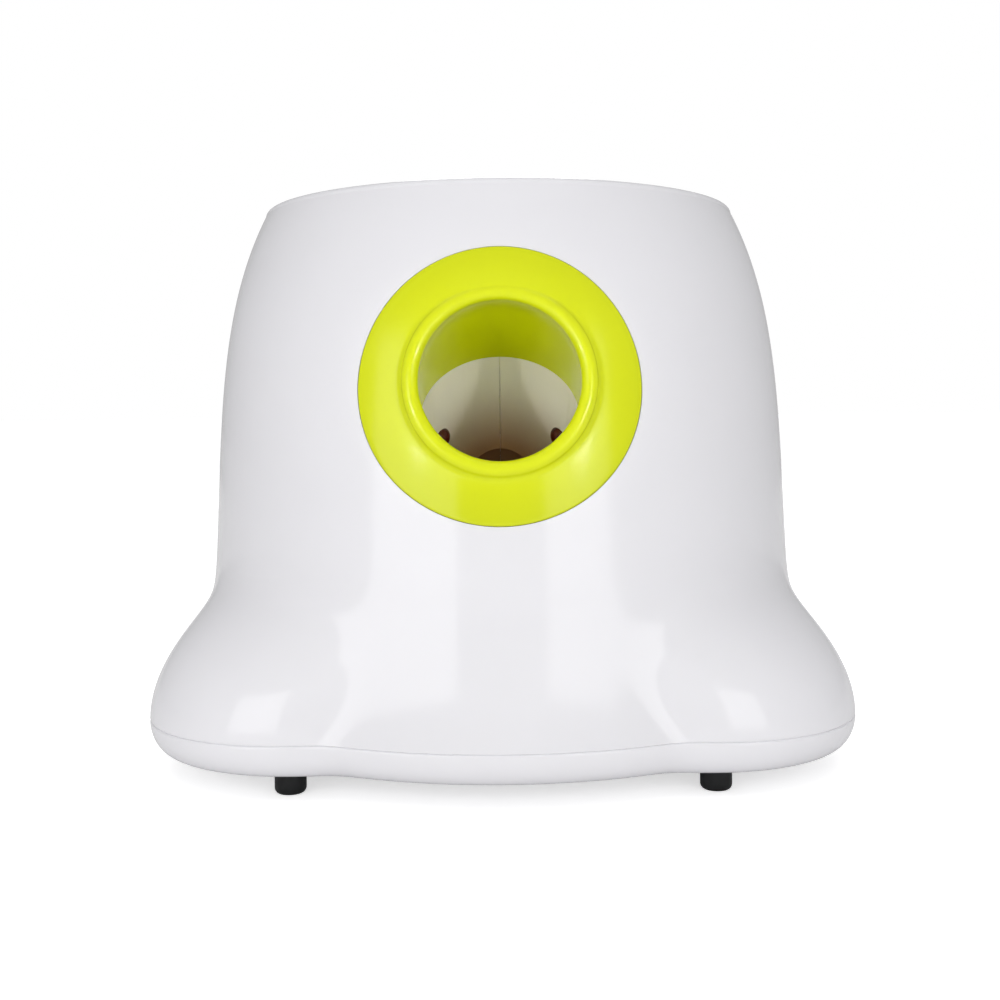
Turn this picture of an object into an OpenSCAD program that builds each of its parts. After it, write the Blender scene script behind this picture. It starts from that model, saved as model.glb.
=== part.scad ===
// Automatic ball launcher for dogs: a moulded shell on a shallow pan, with a bowl, a drop chute,
// a slanting launch tube and a swinging hammer that a geared motor cocks.
// Millimetres. +Z is up, the launch mouth faces -Y, and the origin is on the floor under the middle.

/* [Body] */
// Height of the rim above the floor
rim_z = 228.6; // [222:0.1:240]
// Height of the parting line between shell and pan
seam_z = 21.4; // [20.5:0.1:24]
// Radius of the body at the parting line, between the feet
seam_r = 140.9; // [138:0.1:150]
// Radius of the body at its waist, above the feet
waist_r = 126.5; // [124:0.1:132]
// Height of the waist
waist_z = 71.5; // [66:0.5:78]
// How much the body tapers evenly from waist to rim
body_taper = 5.5; // [3:0.1:7]
// How much the shoulder draws in under the rim, past the even taper
shoulder_drop = 18.3; // [15:0.1:20]
// How late the shoulder draws in
shoulder_power = 4.2; // [3.4:0.1:5]
// Wall of the shell
shell_wall = 2.8; // [2.2:0.1:3.2]
// Radius of the rolled rim
rim_roll = 2.5; // [2:0.1:3]

/* [Rounded feet of the body] */
// Direction of each rounded foot from the front, and from the back
lobe_angle = 50; // [46:0.5:54]
// Radius of each rounded foot in plan
lobe_r = 58.6; // [54:0.1:62]
// Distance from the middle to the centre of each rounded foot
lobe_c = 105.9; // [101:0.1:109]
// How far that centre moves in by the height of the waist
lobe_draw = 38; // [34:0.5:44]
// Softness of the valley beside a foot, at the parting line
lobe_blend = 3; // [2:0.1:5]
// Softness of the valley higher up, at the waist
lobe_blend_top = 6; // [4:0.1:8]

/* [Pan] */
// Clearance of the pan above the floor
pan_z = 8.6; // [7:0.1:9.5]
// How far the pan's rounded edge draws in
pan_round = 10; // [8:0.1:11]
// Thickness of the pan
pan_wall = 2.6; // [2.2:0.1:3]
// Height of the tongue that centres the shell on the pan
tongue_h = 3; // [2:0.1:4]
// Depth of the fine groove along the parting line
groove = 0.5; // [0.3:0.05:0.8]

/* [Rubber feet] */
// Radius of a rubber foot
foot_r = 6; // [5:0.1:7]
// Distance of the rubber feet from the middle, to each side
foot_x = 79; // [76:0.5:84]
// Distance of the rubber feet from the middle, to front and back
foot_y = 108; // [104:0.5:112]
// Depth of the socket that holds a rubber foot
foot_seat = 1.4; // [1:0.1:1.6]

/* [Bowl] */
// Slope of the bowl's funnel
bowl_slope = 37; // [34:0.5:40]
// Wall of the bowl
bowl_wall = 2.2; // [1.8:0.1:2.6]
// Radius of the hole in the bowl
drop_r = 27.8; // [27:0.1:28.2]
// Depth of the ledge that carries the bowl, below the rim
ledge_depth = 9; // [8:0.5:11]
// Width of the ledge that carries the bowl
ledge_w = 5; // [4:0.5:6]

/* [Launch tube] */
// Radius that the launch path is sized for
shot_r = 25.4; // [24.6:0.1:25.8]
// Inner radius of the launch tube
tube_r = 31; // [30.5:0.1:31.5]
// Wall of the launch tube
tube_wall = 2.4; // [2:0.1:2.8]
// Elevation of the launch tube
tube_angle = 45; // [43:0.5:47]
// Height of the launch tube's axis over the middle
tube_axis_z = 53.8; // [53:0.1:55]
// Inner radius of the drop chute
chute_r = 30; // [29.6:0.1:30.4]
// Distance of the drop chute behind the middle
chute_y = 3.4; // [2:0.1:4]
// Distance of the launch tube's open end along its axis
tube_end = 123; // [121:0.5:125]

/* [Mouth] */
// Height of the launch mouth
mouth_z = 152; // [148:0.5:156]
// Outer radius of the coloured ring
ring_r = 51; // [49:0.5:53]
// Lean of the ring's face
ring_tilt = 8.5; // [6:0.5:10]
// Radius of the mouth at its lip
mouth_r = 29.3; // [28.5:0.1:29.8]
// Radius of the lip's rolled edge
lip_r = 3; // [2.6:0.1:3.4]
// Inner radius of the barrel behind the mouth
barrel_r = 30.5; // [30:0.1:31]
// Drop of the barrel behind the mouth
barrel_drop = 22; // [20:0.5:24]

/* [Sensors] */
// Angle of each sensor window from the top of the tube
sensor_angle = 53; // [48:0.5:58]
// Distance of the sensor windows along the tube
sensor_s = 88; // [84:0.5:92]
// Radius of a sensor window
sensor_r = 4.2; // [3.8:0.1:4.6]

/* [Hammer] */
// Distance from the hammer's shaft to the middle of its pad
hammer_arm = 55; // [54:0.5:56]
// Swing of the hammer from struck to cocked
hammer_swing = 50; // [40:1:50]
// Radius of the hammer's shaft
shaft_r = 3; // [2.6:0.1:3.4]
// Radius of the hammer's hub
hub_r = 8; // [7.5:0.1:8.4]
// Half width of the hammer's arm
arm_half_w = 6; // [5:0.5:7]
// Radius of the hammer's pad
pad_r = 7; // [6:0.1:7.5]

/* [Gear train] */
// Distance of each bearing plate from the middle
plate_x = 37.5; // [37:0.1:38.5]
// Thickness of the bearing plates and of the gearbox cover
plate_t = 2.5; // [2:0.1:3]
// Running clearance of a shaft in its bore
run_fit = 0.05; // [0.03:0.01:0.08]
// Radius of the gear pins
pin_r = 2; // [1.6:0.1:2.4]
// Radius of the motor
motor_r = 17.8; // [16:0.1:18.2]
// Length of the motor's can
motor_l = 46; // [40:1:50]

/* [Batteries] */
// Radius of a cell
cell_r = 13.1; // [12.9:0.05:13.2]
// Length of a cell
cell_l = 50; // [49:0.5:50.5]
// Play round a cell in its bay
cell_gap = 0.4; // [0.3:0.05:0.6]
// Distance of a bay from the middle
bay_x = 50; // [48:0.5:51]

/* [Controls] */
// Height of the control panel
panel_z = 140; // [130:1:150]
// Radius of the control panel's round ends
panel_r = 17; // [15:0.5:19]
// Distance between the two buttons
button_pitch = 48; // [44:1:52]
// Radius of each button
button_r = 8.5; // [7.5:0.1:9.5]
// Travel of each button
button_travel = 1.2; // [0.8:0.1:1.4]

/* [Hidden] */

$fn = 48;
// Divisions of the body round its outline
around = 72;
// Overlap that fuses two shapes of one piece
fuse = 0.2;
// Gap between two moulded pieces that seat on curved faces
seat_gap = 0.3;

// ---------- outline of the body ----------

lip_z = rim_z - rim_roll;
pocket_r = trunk_r(lip_z) - 2 * rim_roll;
ledge_z = rim_z - ledge_depth;
floor_z = pan_z + pan_wall;

// Share of the way from the waist to the rim
function up(z) = (z - waist_z) / (rim_z - waist_z);

// Radius of the round trunk at a height, flaring below the waist
function trunk_r(z) =
    z >= waist_z
        ? waist_r - body_taper * up(z) - shoulder_drop * pow(up(z), shoulder_power)
        : waist_r + (seam_r - waist_r) * pow((waist_z - z) / (waist_z - seam_z), 2);

// Angle to the nearest rounded foot, taking the four quarters as one
function quarter(a) = let (b = a % 180) b > 90 ? 180 - b : b;

// How far a foot's round plan reaches from the middle, at an angle from its own direction
function lobe_reach(phi, c) =
    let (q = pow(lobe_r, 2) - pow(c * sin(phi), 2))
    q > 0 ? c * cos(phi) + sqrt(q) : 0;

function smooth_max(a, b, k) = max(a, b) + k * ln(1 + exp(-abs(a - b) / k));

// Radius of the body at an angle from the front, at a height
function body_r(a, z) =
    let (
        h = max(z, seam_z),
        s = (h - seam_z) / (waist_z - seam_z),
        c = max(lobe_c - lobe_draw * s * s, 0),
        k = lobe_blend + (lobe_blend_top - lobe_blend) * min(s, 1)
    )
    c <= 0 ? trunk_r(h) : smooth_max(trunk_r(h), lobe_reach(quarter(a) - lobe_angle, c), k);

// One ring of points: a point of the profile is [inset, height, height that gives the outline]
function body_ring(p) = [
    for (i = [0 : around - 1])
        let (a = 360 * i / around, r = body_r(a, p[2]) - p[0])
        [r * sin(a), -r * cos(a), p[1]]
];

// Triangles between ring j and the ring after it
function ring_faces(j, k) = [
    for (i = [0 : around - 1])
        let (n = (i + 1) % around)
        each [[j * around + i, k * around + i, k * around + n], [j * around + i, k * around + n, j * around + n]]
];

// A closed profile carried round the body
module body_sweep(profile) {
    count = len(profile);
    polyhedron(
        points = [for (p = profile) each body_ring(p)],
        faces = [for (j = [0 : count - 1]) each ring_faces(j, (j + 1) % count)],
        convexity = 8
    );
}

// An open profile carried round the body, closed with a flat face at each end
module body_dish(profile) {
    count = len(profile);
    last = (count - 1) * around;
    polyhedron(
        points = [for (p = profile) each body_ring(p)],
        faces = concat(
            [for (j = [0 : count - 2]) each ring_faces(j, j + 1)],
            [[for (i = [0 : around - 1]) i]],
            [[for (i = [around - 1 : -1 : 0]) last + i]]
        ),
        convexity = 8
    );
}

// ---------- places in the launch path ----------

// A point in the plane x = 0, from its height over the tube's axis and its distance along it
function tube_point(over, along) = [
    0,
    -along * cos(tube_angle) + over * sin(tube_angle),
    tube_axis_z + along * sin(tube_angle) + over * cos(tube_angle)
];

// Puts its children in the tube's frame: z runs along the tube, y to its upper side
module in_tube(along = 0) {
    translate(tube_point(0, along)) rotate([90 - tube_angle, 0, 0]) children();
}

tube_out = tube_r + tube_wall;
chute_out = chute_r + tube_wall;
// Where a shot's centre lies along the tube before launch, and where the pad meets it
rest_s = 8.5;
strike_s = rest_s - shot_r;
strike_over = -(tube_r - shot_r);
pivot = tube_point(strike_over + hammer_arm, strike_s);
end_wall_front = strike_s - 0.3;
end_wall_t = 2.6;
// Height of the funnel's inner edge at the hole
bowl_hole_z = ledge_z - 1 - (pocket_r - ledge_w - drop_r) * tan(bowl_slope);
chute_top_z = bowl_hole_z - 4;
bowl_neck_z = chute_top_z - 8;

mouth_y = -(trunk_r(mouth_z) - 1.8);
// Puts its children at the mouth, leaning back by an angle, with z pointing out of the mouth
module at_mouth(lean) {
    translate([0, mouth_y, mouth_z]) rotate([90 - lean, 0, 0]) children();
}

// ---------- gear train ----------

mesh_gap = 0.1;
backlash = 0.16;
pressure_angle = 20;
hammer_module = 1.25;
hammer_teeth = 36;
sector_teeth = 20;
wheel_module = 1;
wheel_teeth = 48;
second_pinion_teeth = 12;
second_module = 0.8;
second_teeth = 42;
first_pinion_teeth = 12;
first_module = 0.6;
first_teeth = 48;
motor_teeth = 10;

function centre_distance(m, a, b) = m * (a + b) / 2 + mesh_gap;
function polar(d, a) = [0, d * cos(a), d * sin(a)];

sector_dir = -42;
second_dir = 75;
first_dir = 150;
motor_dir = 20;
sector_at = pivot + polar(centre_distance(hammer_module, hammer_teeth, sector_teeth), sector_dir);
second_at = sector_at + polar(centre_distance(wheel_module, wheel_teeth, second_pinion_teeth), second_dir);
first_at = second_at + polar(centre_distance(second_module, second_teeth, first_pinion_teeth), first_dir);
motor_at = first_at + polar(centre_distance(first_module, first_teeth, motor_teeth), motor_dir);

// Stations along X, outside the right bearing plate
train_x = plate_x + plate_t;
stage_a = train_x + 1;
stage_a_w = 4;
stage_b = stage_a + stage_a_w + 1;
stage_b_w = 4;
stage_c = stage_b + stage_b_w + 1;
stage_c_w = 5;
stage_d = stage_c + stage_c_w + 1;
stage_d_w = 6;
cover_x = stage_d + stage_d_w + 1;
end_play = 0.3;

// Phase of the second of two gears in mesh, from the first one's phase
function mesh_phase(dir, phase, n1, n2) = dir + 180 + 180 / n2 - (phase - dir) * n1 / n2;

hammer_phase = 0;
sector_phase = mesh_phase(sector_dir, hammer_phase, hammer_teeth, sector_teeth);
wheel_phase = 0;
second_pinion_phase = mesh_phase(second_dir, wheel_phase, wheel_teeth, second_pinion_teeth);
second_phase = 0;
first_pinion_phase = mesh_phase(first_dir, second_phase, second_teeth, first_pinion_teeth);
first_phase = 0;
motor_phase = mesh_phase(motor_dir, first_phase, first_teeth, motor_teeth);

function involute(base, r) = let (a = acos(min(base / r, 1))) tan(a) - a * PI / 180;

// Half a tooth's angle at radius r, in degrees
function tooth_half(m, n, r) =
    let (pitch = m * n / 2, base = pitch * cos(pressure_angle))
    90 / n + (involute(base, pitch) - involute(base, max(r, base)) - backlash / 4 / pitch) * 180 / PI;

function rim_point(r, a) = [r * cos(a), r * sin(a)];

// Outline of the teeth with numbers from..to, and of the root circle between them
function gear_outline(m, n, phase, from, to) =
    let (
        pitch = m * n / 2,
        tip = pitch + 0.9 * m,
        root = pitch - 1.2 * m,
        base = pitch * cos(pressure_angle),
        foot = max(base, root),
        radii = [foot, (foot + tip) / 2, tip]
    )
    [
        for (i = [from : to])
            let (a = phase + 360 * i / n)
            each concat(
                [rim_point(root, a - tooth_half(m, n, foot))],
                [for (r = radii) rim_point(r, a - tooth_half(m, n, r))],
                [for (j = [2 : -1 : 0]) rim_point(radii[j], a + tooth_half(m, n, radii[j]))],
                [rim_point(root, a + tooth_half(m, n, foot))]
            )
    ];

// Puts its children with z along X, x along Y and y along Z
module along_x(at, x) {
    translate([x, at[1], at[2]]) rotate([90, 0, 90]) children();
}

module rod(at, x, length, r) {
    along_x(at, x) cylinder(r = r, h = length);
}

module full_gear(m, n, phase, w) {
    linear_extrude(w) polygon(gear_outline(m, n, phase, 0, n - 1));
}

// A toothed segment: only the teeth of a span, and the web back to the middle
module part_gear(m, n, phase, span, w) {
    linear_extrude(w) polygon(concat([[0, 0]], gear_outline(m, n, phase, span[0], span[1])));
}

// Outline of a belt round discs [y, z, r] that are listed anticlockwise
function belt_angle(a, b) =
    atan2(b[1] - a[1], b[0] - a[0]) - acos((a[2] - b[2]) / norm([b[0] - a[0], b[1] - a[1]]));
function wrap(a) = a - 360 * floor(a / 360);
function belt(discs, steps = 6) = [
    for (i = [0 : len(discs) - 1])
        let (
            n = len(discs),
            c = discs[i],
            a0 = belt_angle(discs[(i + n - 1) % n], c),
            turn = wrap(belt_angle(c, discs[(i + 1) % n]) - a0)
        )
        for (k = [0 : steps]) let (a = a0 + turn * k / steps) [c[0] + c[2] * cos(a), c[1] + c[2] * sin(a)]
];

// ---------- shell, pan and feet ----------

module each_quarter() {
    for (mx = [0, 1], my = [0, 1])
        mirror([mx, 0, 0]) mirror([0, my, 0]) children();
}

foot_top = waist_z + 6;

function shell_profile() = concat(
    [[groove, seam_z, seam_z]],
    [[0, seam_z + groove, seam_z + groove]],
    [for (i = [1 : 14]) let (z = seam_z + (foot_top - seam_z) * i / 14) [0, z, z]],
    [for (i = [1 : 11]) let (z = foot_top + (lip_z - foot_top) * sin(90 * i / 11)) [0, z, z]],
    [for (a = [30 : 30 : 180]) [rim_roll * (1 - cos(a)), lip_z + rim_roll * sin(a), lip_z]],
    [for (w = [0, ledge_w]) [trunk_r(ledge_z) - pocket_r + w, ledge_z, ledge_z]],
    [[trunk_r(ledge_z) - pocket_r + ledge_w, ledge_z - pan_wall, ledge_z]],
    [for (i = [0 : 6]) let (z = foot_top + (ledge_z - 2 * ledge_w - foot_top) * cos(15 * i)) [shell_wall, z, z]],
    [for (i = [7 : -1 : 0]) let (z = seam_z + (foot_top - seam_z) * i / 8) [shell_wall, z, z]]
);

post_at = 128;
post_r = 4.5;
post_top = 50;
screw_r = 1.5;
screw_hole = screw_r + 0.1;

// A screw post inside a rounded foot, tied to the shell by a rib that ends within the wall
module lobe_post() {
    mid = shell_wall / 2;
    rib_top = post_top + 6;
    rotate([0, 0, -90 + lobe_angle]) {
        translate([post_at, 0, seam_z + 1]) cylinder(r = post_r, h = post_top - seam_z);
        rotate([90, 0, 0])
            linear_extrude(2, center = true)
                polygon(concat(
                    [[post_at, rib_top - 3], [post_at, seam_z + tongue_h + 3]],
                    [for (i = [0 : 5])
                        let (z = seam_z + tongue_h + 3 + (rib_top - seam_z - tongue_h - 6) * i / 5)
                        [body_r(lobe_angle, z) - mid, z]]
                ));
    }
}

module mouth_hole(r) {
    at_mouth(ring_tilt) translate([0, 0, -30]) cylinder(r = r, h = 60);
}

// A prism with round ends that stands out of the back wall
module panel_prism(grow, y0, y1) {
    half = button_pitch / 2;
    translate([0, y1, panel_z]) rotate([90, 0, 0]) linear_extrude(y1 - y0)
        polygon(belt([[-half, 0, panel_r + grow], [half, 0, panel_r + grow]], 10));
}

jack_x = 46;
jack_z = 40;
jack_w = 14;
jack_h = 11;
jack_l = 14;
jack_r = 4.4;
jack_wall_y = sqrt(pow(trunk_r(jack_z), 2) - pow(jack_x, 2));

module upper_shell() {
    color("white")
        difference() {
            union() {
                body_sweep(shell_profile());
                each_quarter() lobe_post();
            }
            each_quarter() rotate([0, 0, -90 + lobe_angle])
                translate([post_at, 0, seam_z]) cylinder(r = screw_r - 0.2, h = post_top - seam_z - 3);
            mouth_hole(ring_r + seat_gap);
            panel_prism(seat_gap, waist_r - 30, waist_r + 10);
            translate([jack_x, seam_r, jack_z]) rotate([90, 0, 0]) cylinder(r = jack_r + seat_gap, h = 30);
        }
}

pan_h = seam_z - pan_z;
tongue_in = shell_wall + seat_gap;
tongue_t = 1.6;
// How much further in the tongue's top leans than the outline, to lead the shell on
tongue_lean = 0.7;

function pan_profile() = concat(
    [for (t = [0 : 15 : 75]) [pan_round * (1 - sin(t)), seam_z - pan_h * cos(t), seam_z]],
    [[0, seam_z - groove, seam_z], [groove, seam_z, seam_z]],
    [[tongue_in, seam_z, seam_z], [tongue_in + tongue_lean, seam_z + tongue_h, seam_z + tongue_h]],
    [[tongue_in + tongue_lean + tongue_t, seam_z + tongue_h, seam_z + tongue_h]],
    [[tongue_in + tongue_t, seam_z - 1, seam_z]],
    [for (t = [50 : -25 : 0]) [pan_wall + pan_round * (1 - sin(t)), seam_z - (pan_h - pan_wall) * cos(t), seam_z]]
);

bay_wall = 2;
bay_pitch = 2 * cell_r + cell_gap;
bay_half = 1.5 * bay_pitch + cell_gap;
bay_l = cell_l + 5.5;
cell_z = floor_z + 0.9 + cell_r;
bay_top = cell_z + cell_r + 0.8;
hinge_r = 2;
hinge_play = 0.4;
hinge_room = hinge_r + hinge_play;
hinge_x = bay_x - bay_wall - hinge_r - hinge_play - 0.7;
hinge_z = pan_z + hinge_r;
hinge_pin_r = 1.1;
hinge_pin_l = 3;
door_gap = 0.3;
door_edge = bay_half + 1;

module each_side() {
    for (m = [0, 1]) mirror([m, 0, 0]) children();
}

module along_y(x, z, y0, y1, r) {
    translate([x, y1, z]) rotate([90, 0, 0]) cylinder(r = r, h = y1 - y0);
}

// Walls of one battery bay and the block round its door's hinge
module bay_walls() {
    low = floor_z - fuse;
    translate([bay_x - bay_wall, -bay_half - bay_wall, low])
        cube([bay_l + 2 * bay_wall, 2 * (bay_half + bay_wall), bay_top + bay_wall - low]);
    translate([hinge_x - hinge_r - hinge_play - 1.5, -bay_half - 5, low])
        cube([bay_x - hinge_x + hinge_r + hinge_play, 2 * bay_half + 10, hinge_z + hinge_r + 2.4 - low]);
}

module bay_space() {
    translate([bay_x, -bay_half, pan_z - 1]) cube([bay_l, 2 * bay_half, bay_top - pan_z + 1]);
    translate([hinge_x, -door_edge, pan_z - 1]) cube([bay_x + bay_l + 1 - hinge_x, 2 * door_edge, pan_wall + 1]);
    translate([hinge_x, door_edge, hinge_z]) rotate([90, 0, 0]) linear_extrude(2 * door_edge)
        polygon(concat([[hinge_room, -hinge_r - 1], [-hinge_room, -hinge_r - 1]],
            [for (a = [180 : -15 : 0]) hinge_room * [cos(a), sin(a)]]));
    along_y(hinge_x, hinge_z, -door_edge - hinge_pin_l - 0.2, door_edge + hinge_pin_l + 0.2, hinge_pin_r + run_fit);
    translate([exit_x, bay_pitch, bay_top - 1]) cylinder(r = lead_r + 0.2, h = bay_wall + 2);
}

leg_x = 20;
leg_t = 3;
leg_y = -58;
leg_w = 28;
leg_flange = 12;
flange_t = 2.5;
plate_foot_y = [55, 89];
plate_foot_w = 10;
leg_screw_y = [leg_y - 8, leg_y + 8];
leg_screw_x = leg_x + leg_t + 4.5;
plate_screw_x = plate_x - 5;

// Where screws go up through the pan into the legs and bearing plates
function seat_screws() = [
    for (s = [-1, 1]) each concat(
        [for (y = leg_screw_y) [s * leg_screw_x, y]],
        [for (y = plate_foot_y) [s * plate_screw_x, y]]
    )
];

module base_pan() {
    color("white")
        difference() {
            union() {
                body_dish(pan_profile());
                each_side() bay_walls();
                each_quarter() rotate([0, 0, -90 + lobe_angle])
                    translate([post_at, 0, floor_z - fuse]) cylinder(r = post_r, h = seam_z + 1 - floor_z + fuse);
                each_quarter() translate([foot_x, foot_y, floor_z - fuse]) cylinder(r = foot_r + 1.2, h = 1.5);
            }
            each_side() bay_space();
            each_quarter() rotate([0, 0, -90 + lobe_angle]) translate([post_at, 0, pan_z - 1]) {
                cylinder(r = screw_hole, h = seam_z);
                cylinder(r = 3.2, h = 5);
            }
            each_quarter() translate([foot_x, foot_y, pan_z - 1]) cylinder(r = foot_r, h = foot_seat + 1);
            for (p = seat_screws()) translate([p[0], p[1], pan_z - 1]) {
                cylinder(r = screw_hole, h = 6);
                cylinder(r = 3.2, h = 2);
            }
        }
}

module rubber_foot(sx, sy) {
    color("#1c1c1c")
        translate([sx * foot_x, sy * foot_y, 0]) rotate_extrude()
            polygon([[0, 0], [foot_r - 1, 0], [foot_r - run_fit, 1], [foot_r - run_fit, pan_z + foot_seat],
                [0, pan_z + foot_seat]]);
}

module foot_front_left() { rubber_foot(-1, -1); }
module foot_front_right() { rubber_foot(1, -1); }
module foot_rear_left() { rubber_foot(-1, 1); }
module foot_rear_right() { rubber_foot(1, 1); }

// ---------- bowl ----------

bowl_r = pocket_r - 0.4;
bowl_in = pocket_r - ledge_w - 0.4;
neck_out = chute_r - seat_gap;

module hopper_bowl() {
    slope = tan(bowl_slope);
    drop = bowl_wall / cos(bowl_slope);
    mid_z = bowl_hole_z - drop_r * slope;
    top = rim_z - 3;
    step_r = bowl_in - bowl_wall;
    color("white")
        difference() {
            union() {
                rotate_extrude()
                    polygon([[0, mid_z - drop], [bowl_in, mid_z - drop + bowl_in * slope], [bowl_in, ledge_z],
                        [bowl_r, ledge_z], [bowl_r, top - 0.8], [bowl_r - 0.8, top], [0, top]]);
                translate([0, chute_y, bowl_neck_z]) cylinder(r = neck_out, h = bowl_hole_z + 6 - bowl_neck_z);
            }
            rotate_extrude()
                polygon([[0, mid_z], [step_r, mid_z + step_r * slope], [step_r + 0.6, ledge_z + bowl_wall],
                    [bowl_r - bowl_wall, ledge_z + bowl_wall + 2], [bowl_r - bowl_wall + 0.6, top + 1], [0, top + 1]]);
            translate([0, chute_y, mid_z - drop - 1]) cylinder(r = drop_r, h = rim_z - mid_z);
        }
}

// ---------- ring, barrel and launch tube ----------

// A layer that follows the trunk, between two distances from its outer face
module trunk_layer(outer, inner, z0, z1, steps = 14) {
    heights = [for (i = [0 : steps]) z0 + (z1 - z0) * i / steps];
    rotate_extrude()
        polygon(concat(
            [for (z = heights) [trunk_r(z) + outer, z]],
            [for (i = [steps : -1 : 0]) [trunk_r(heights[i]) + inner, heights[i]]]
        ));
}

// Everything further along the tube than s, and no lower under its axis than over
module ahead_of(s, over = -200) {
    in_tube(s) translate([-200, over, 0]) cube([400, 400, 400]);
}

ring_proud = 0.7;
flange_in = shell_wall + seat_gap;
flange_out = flange_in + 2.4;
retain = 5;
barrel_wall = 2.4;
barrel_flange_t = 3.5;
collar_l = 7;
// How far the mouth's bore runs in, past where the barrel's leaning bore begins
throat_l = 11;

module barrel_ring() {
    reach = ring_r + retain + 6;
    color("#c9d521")
        difference() {
            union() {
                difference() {
                    intersection() {
                        trunk_layer(ring_proud, -flange_out, mouth_z - reach, mouth_z + reach);
                        mouth_hole(ring_r + retain);
                    }
                    difference() {
                        trunk_layer(ring_proud + 1, -flange_in, mouth_z - reach - 1, mouth_z + reach + 1);
                        mouth_hole(ring_r);
                    }
                }
                at_mouth(ring_tilt) rotate_extrude()
                    translate([mouth_r + lip_r, 0]) {
                        circle(r = lip_r);
                        translate([-lip_r, -12]) square([2 * lip_r, 12]);
                    }
                intersection() {
                    at_mouth(barrel_drop) translate([0, 0, -70]) cylinder(r = barrel_r + barrel_wall, h = 66);
                    ahead_of(tube_end + fuse);
                }
                in_tube(tube_end) cylinder(r = barrel_r + 9, h = barrel_flange_t);
                in_tube(tube_end - collar_l) cylinder(r = tube_out + seat_gap + 2.4, h = collar_l + fuse);
            }
            at_mouth(ring_tilt) translate([0, 0, -throat_l]) cylinder(r = mouth_r, h = throat_l + 20);
            at_mouth(barrel_drop) translate([0, 0, -80]) cylinder(r = barrel_r, h = 80 - lip_r);
            in_tube(tube_end - collar_l - 1) cylinder(r = tube_out + seat_gap, h = collar_l + 1);
        }
}

end_wall_back = end_wall_front - end_wall_t;
flange_half = 2.5;
tube_flange = 7;
tube_screw_at = [[-1, 30], [-1, 62], [-1, 96], [1, 96]];
sensor_boss = 9;

module at_sensor(side, out) {
    in_tube(sensor_s) rotate([0, 0, -side * sensor_angle]) translate([0, out, 0]) rotate([-90, 0, 0]) children();
}

module at_tube_screw(p, x) {
    in_tube(p[1]) translate([x, p[0] * (tube_out + tube_flange / 2 + 0.5), 0]) rotate([0, 90, 0]) children();
}

// Half of the gap where the two halves of the tube meet
parting = 0.04;

module launch_walls() {
    difference() {
        union() {
            in_tube(end_wall_back) cylinder(r = tube_out, h = tube_end - end_wall_back);
            intersection() {
                translate([0, chute_y, 0]) cylinder(r = chute_out, h = chute_top_z);
                ahead_of(end_wall_back, 0);
            }
            each_side() launch_mounts();
        }
        launch_bores();
    }
}

module launch_tube_half(side) {
    color("#f1efe9")
        difference() {
            launch_walls();
            translate([side > 0 ? parting - 200 : -parting, -200, -10]) cube([200, 400, 400]);
        }
}

// Flanges, legs and the sensor's boss of one half
module launch_mounts() {
    in_tube(12) translate([0, -tube_out - tube_flange, 0])
        cube([flange_half, tube_flange + 1, tube_end - collar_l - 13]);
    in_tube(sensor_s - 6) translate([0, tube_out - 1, 0])
        cube([flange_half, tube_flange + 1, tube_end - collar_l - sensor_s + 5]);
    translate([leg_x, leg_y - leg_w / 2, floor_z]) cube([leg_t, leg_w, tube_axis_z - leg_y - tube_r]);
    translate([leg_x, leg_y - leg_w / 2, floor_z]) cube([leg_flange, leg_w, flange_t]);
    at_sensor(1, tube_r + 0.5) cylinder(r = sensor_r + 2.6, h = sensor_boss - 0.5);
}

module launch_bores() {
    in_tube(end_wall_front) cylinder(r = tube_r, h = tube_end - end_wall_front + 1);
    intersection() {
        translate([0, chute_y, 0]) cylinder(r = chute_r, h = chute_top_z + 1);
        ahead_of(end_wall_front, 0);
    }
    in_tube(end_wall_back - 1) translate([-pad_r - 2, strike_over - pad_r - 3, 0])
        cube([2 * pad_r + 4, 2 * pad_r + 5, end_wall_t + 2]);
    for (s = [-1, 1]) at_sensor(s, tube_r - 4) cylinder(r = sensor_r + run_fit, h = sensor_boss + 6);
    for (p = tube_screw_at) at_tube_screw(p, -flange_half - 1) cylinder(r = screw_hole, h = 2 * flange_half + 2);
    for (p = seat_screws()) translate([p[0], p[1], 0]) cylinder(r = screw_r - 0.2, h = floor_z + 9);
}

module launch_tube_left() { launch_tube_half(-1); }
module launch_tube_right() { launch_tube_half(1); }

window_t = 2.2;

module sensor_window(side) {
    color("#3a1010")
        at_sensor(side, tube_r + 0.1) rotate_extrude()
            polygon([[0, 0], [sensor_r - 0.4, 0], [sensor_r, 0.4], [sensor_r, window_t], [0, window_t]]);
}

module sensor_window_left() { sensor_window(-1); }
module sensor_window_right() { sensor_window(1); }

// A small board on the boss, with its diode reaching down behind the window
module sensor_unit(side, tint) {
    color(tint) {
        at_sensor(side, tube_r + sensor_boss) translate([-7, -7, 0]) cube([14, 14, 1.6]);
        at_sensor(side, tube_r + window_t + 0.6) rotate_extrude()
            polygon(concat(
                [for (a = [-90 : 15 : 0]) [2.4 * cos(a), 2.4 + 2.4 * sin(a)]],
                [[2.4, sensor_boss - window_t - 1.6], [2.8, sensor_boss - window_t - 1.6],
                    [2.8, sensor_boss - window_t - 0.6], [0, sensor_boss - window_t - 0.6]]
            ));
    }
}

module sensor_emitter() { sensor_unit(-1, "#6f7a86"); }
module sensor_receiver() { sensor_unit(1, "#2a2a2e"); }

// ---------- bearing plates and gearbox cover ----------

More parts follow.
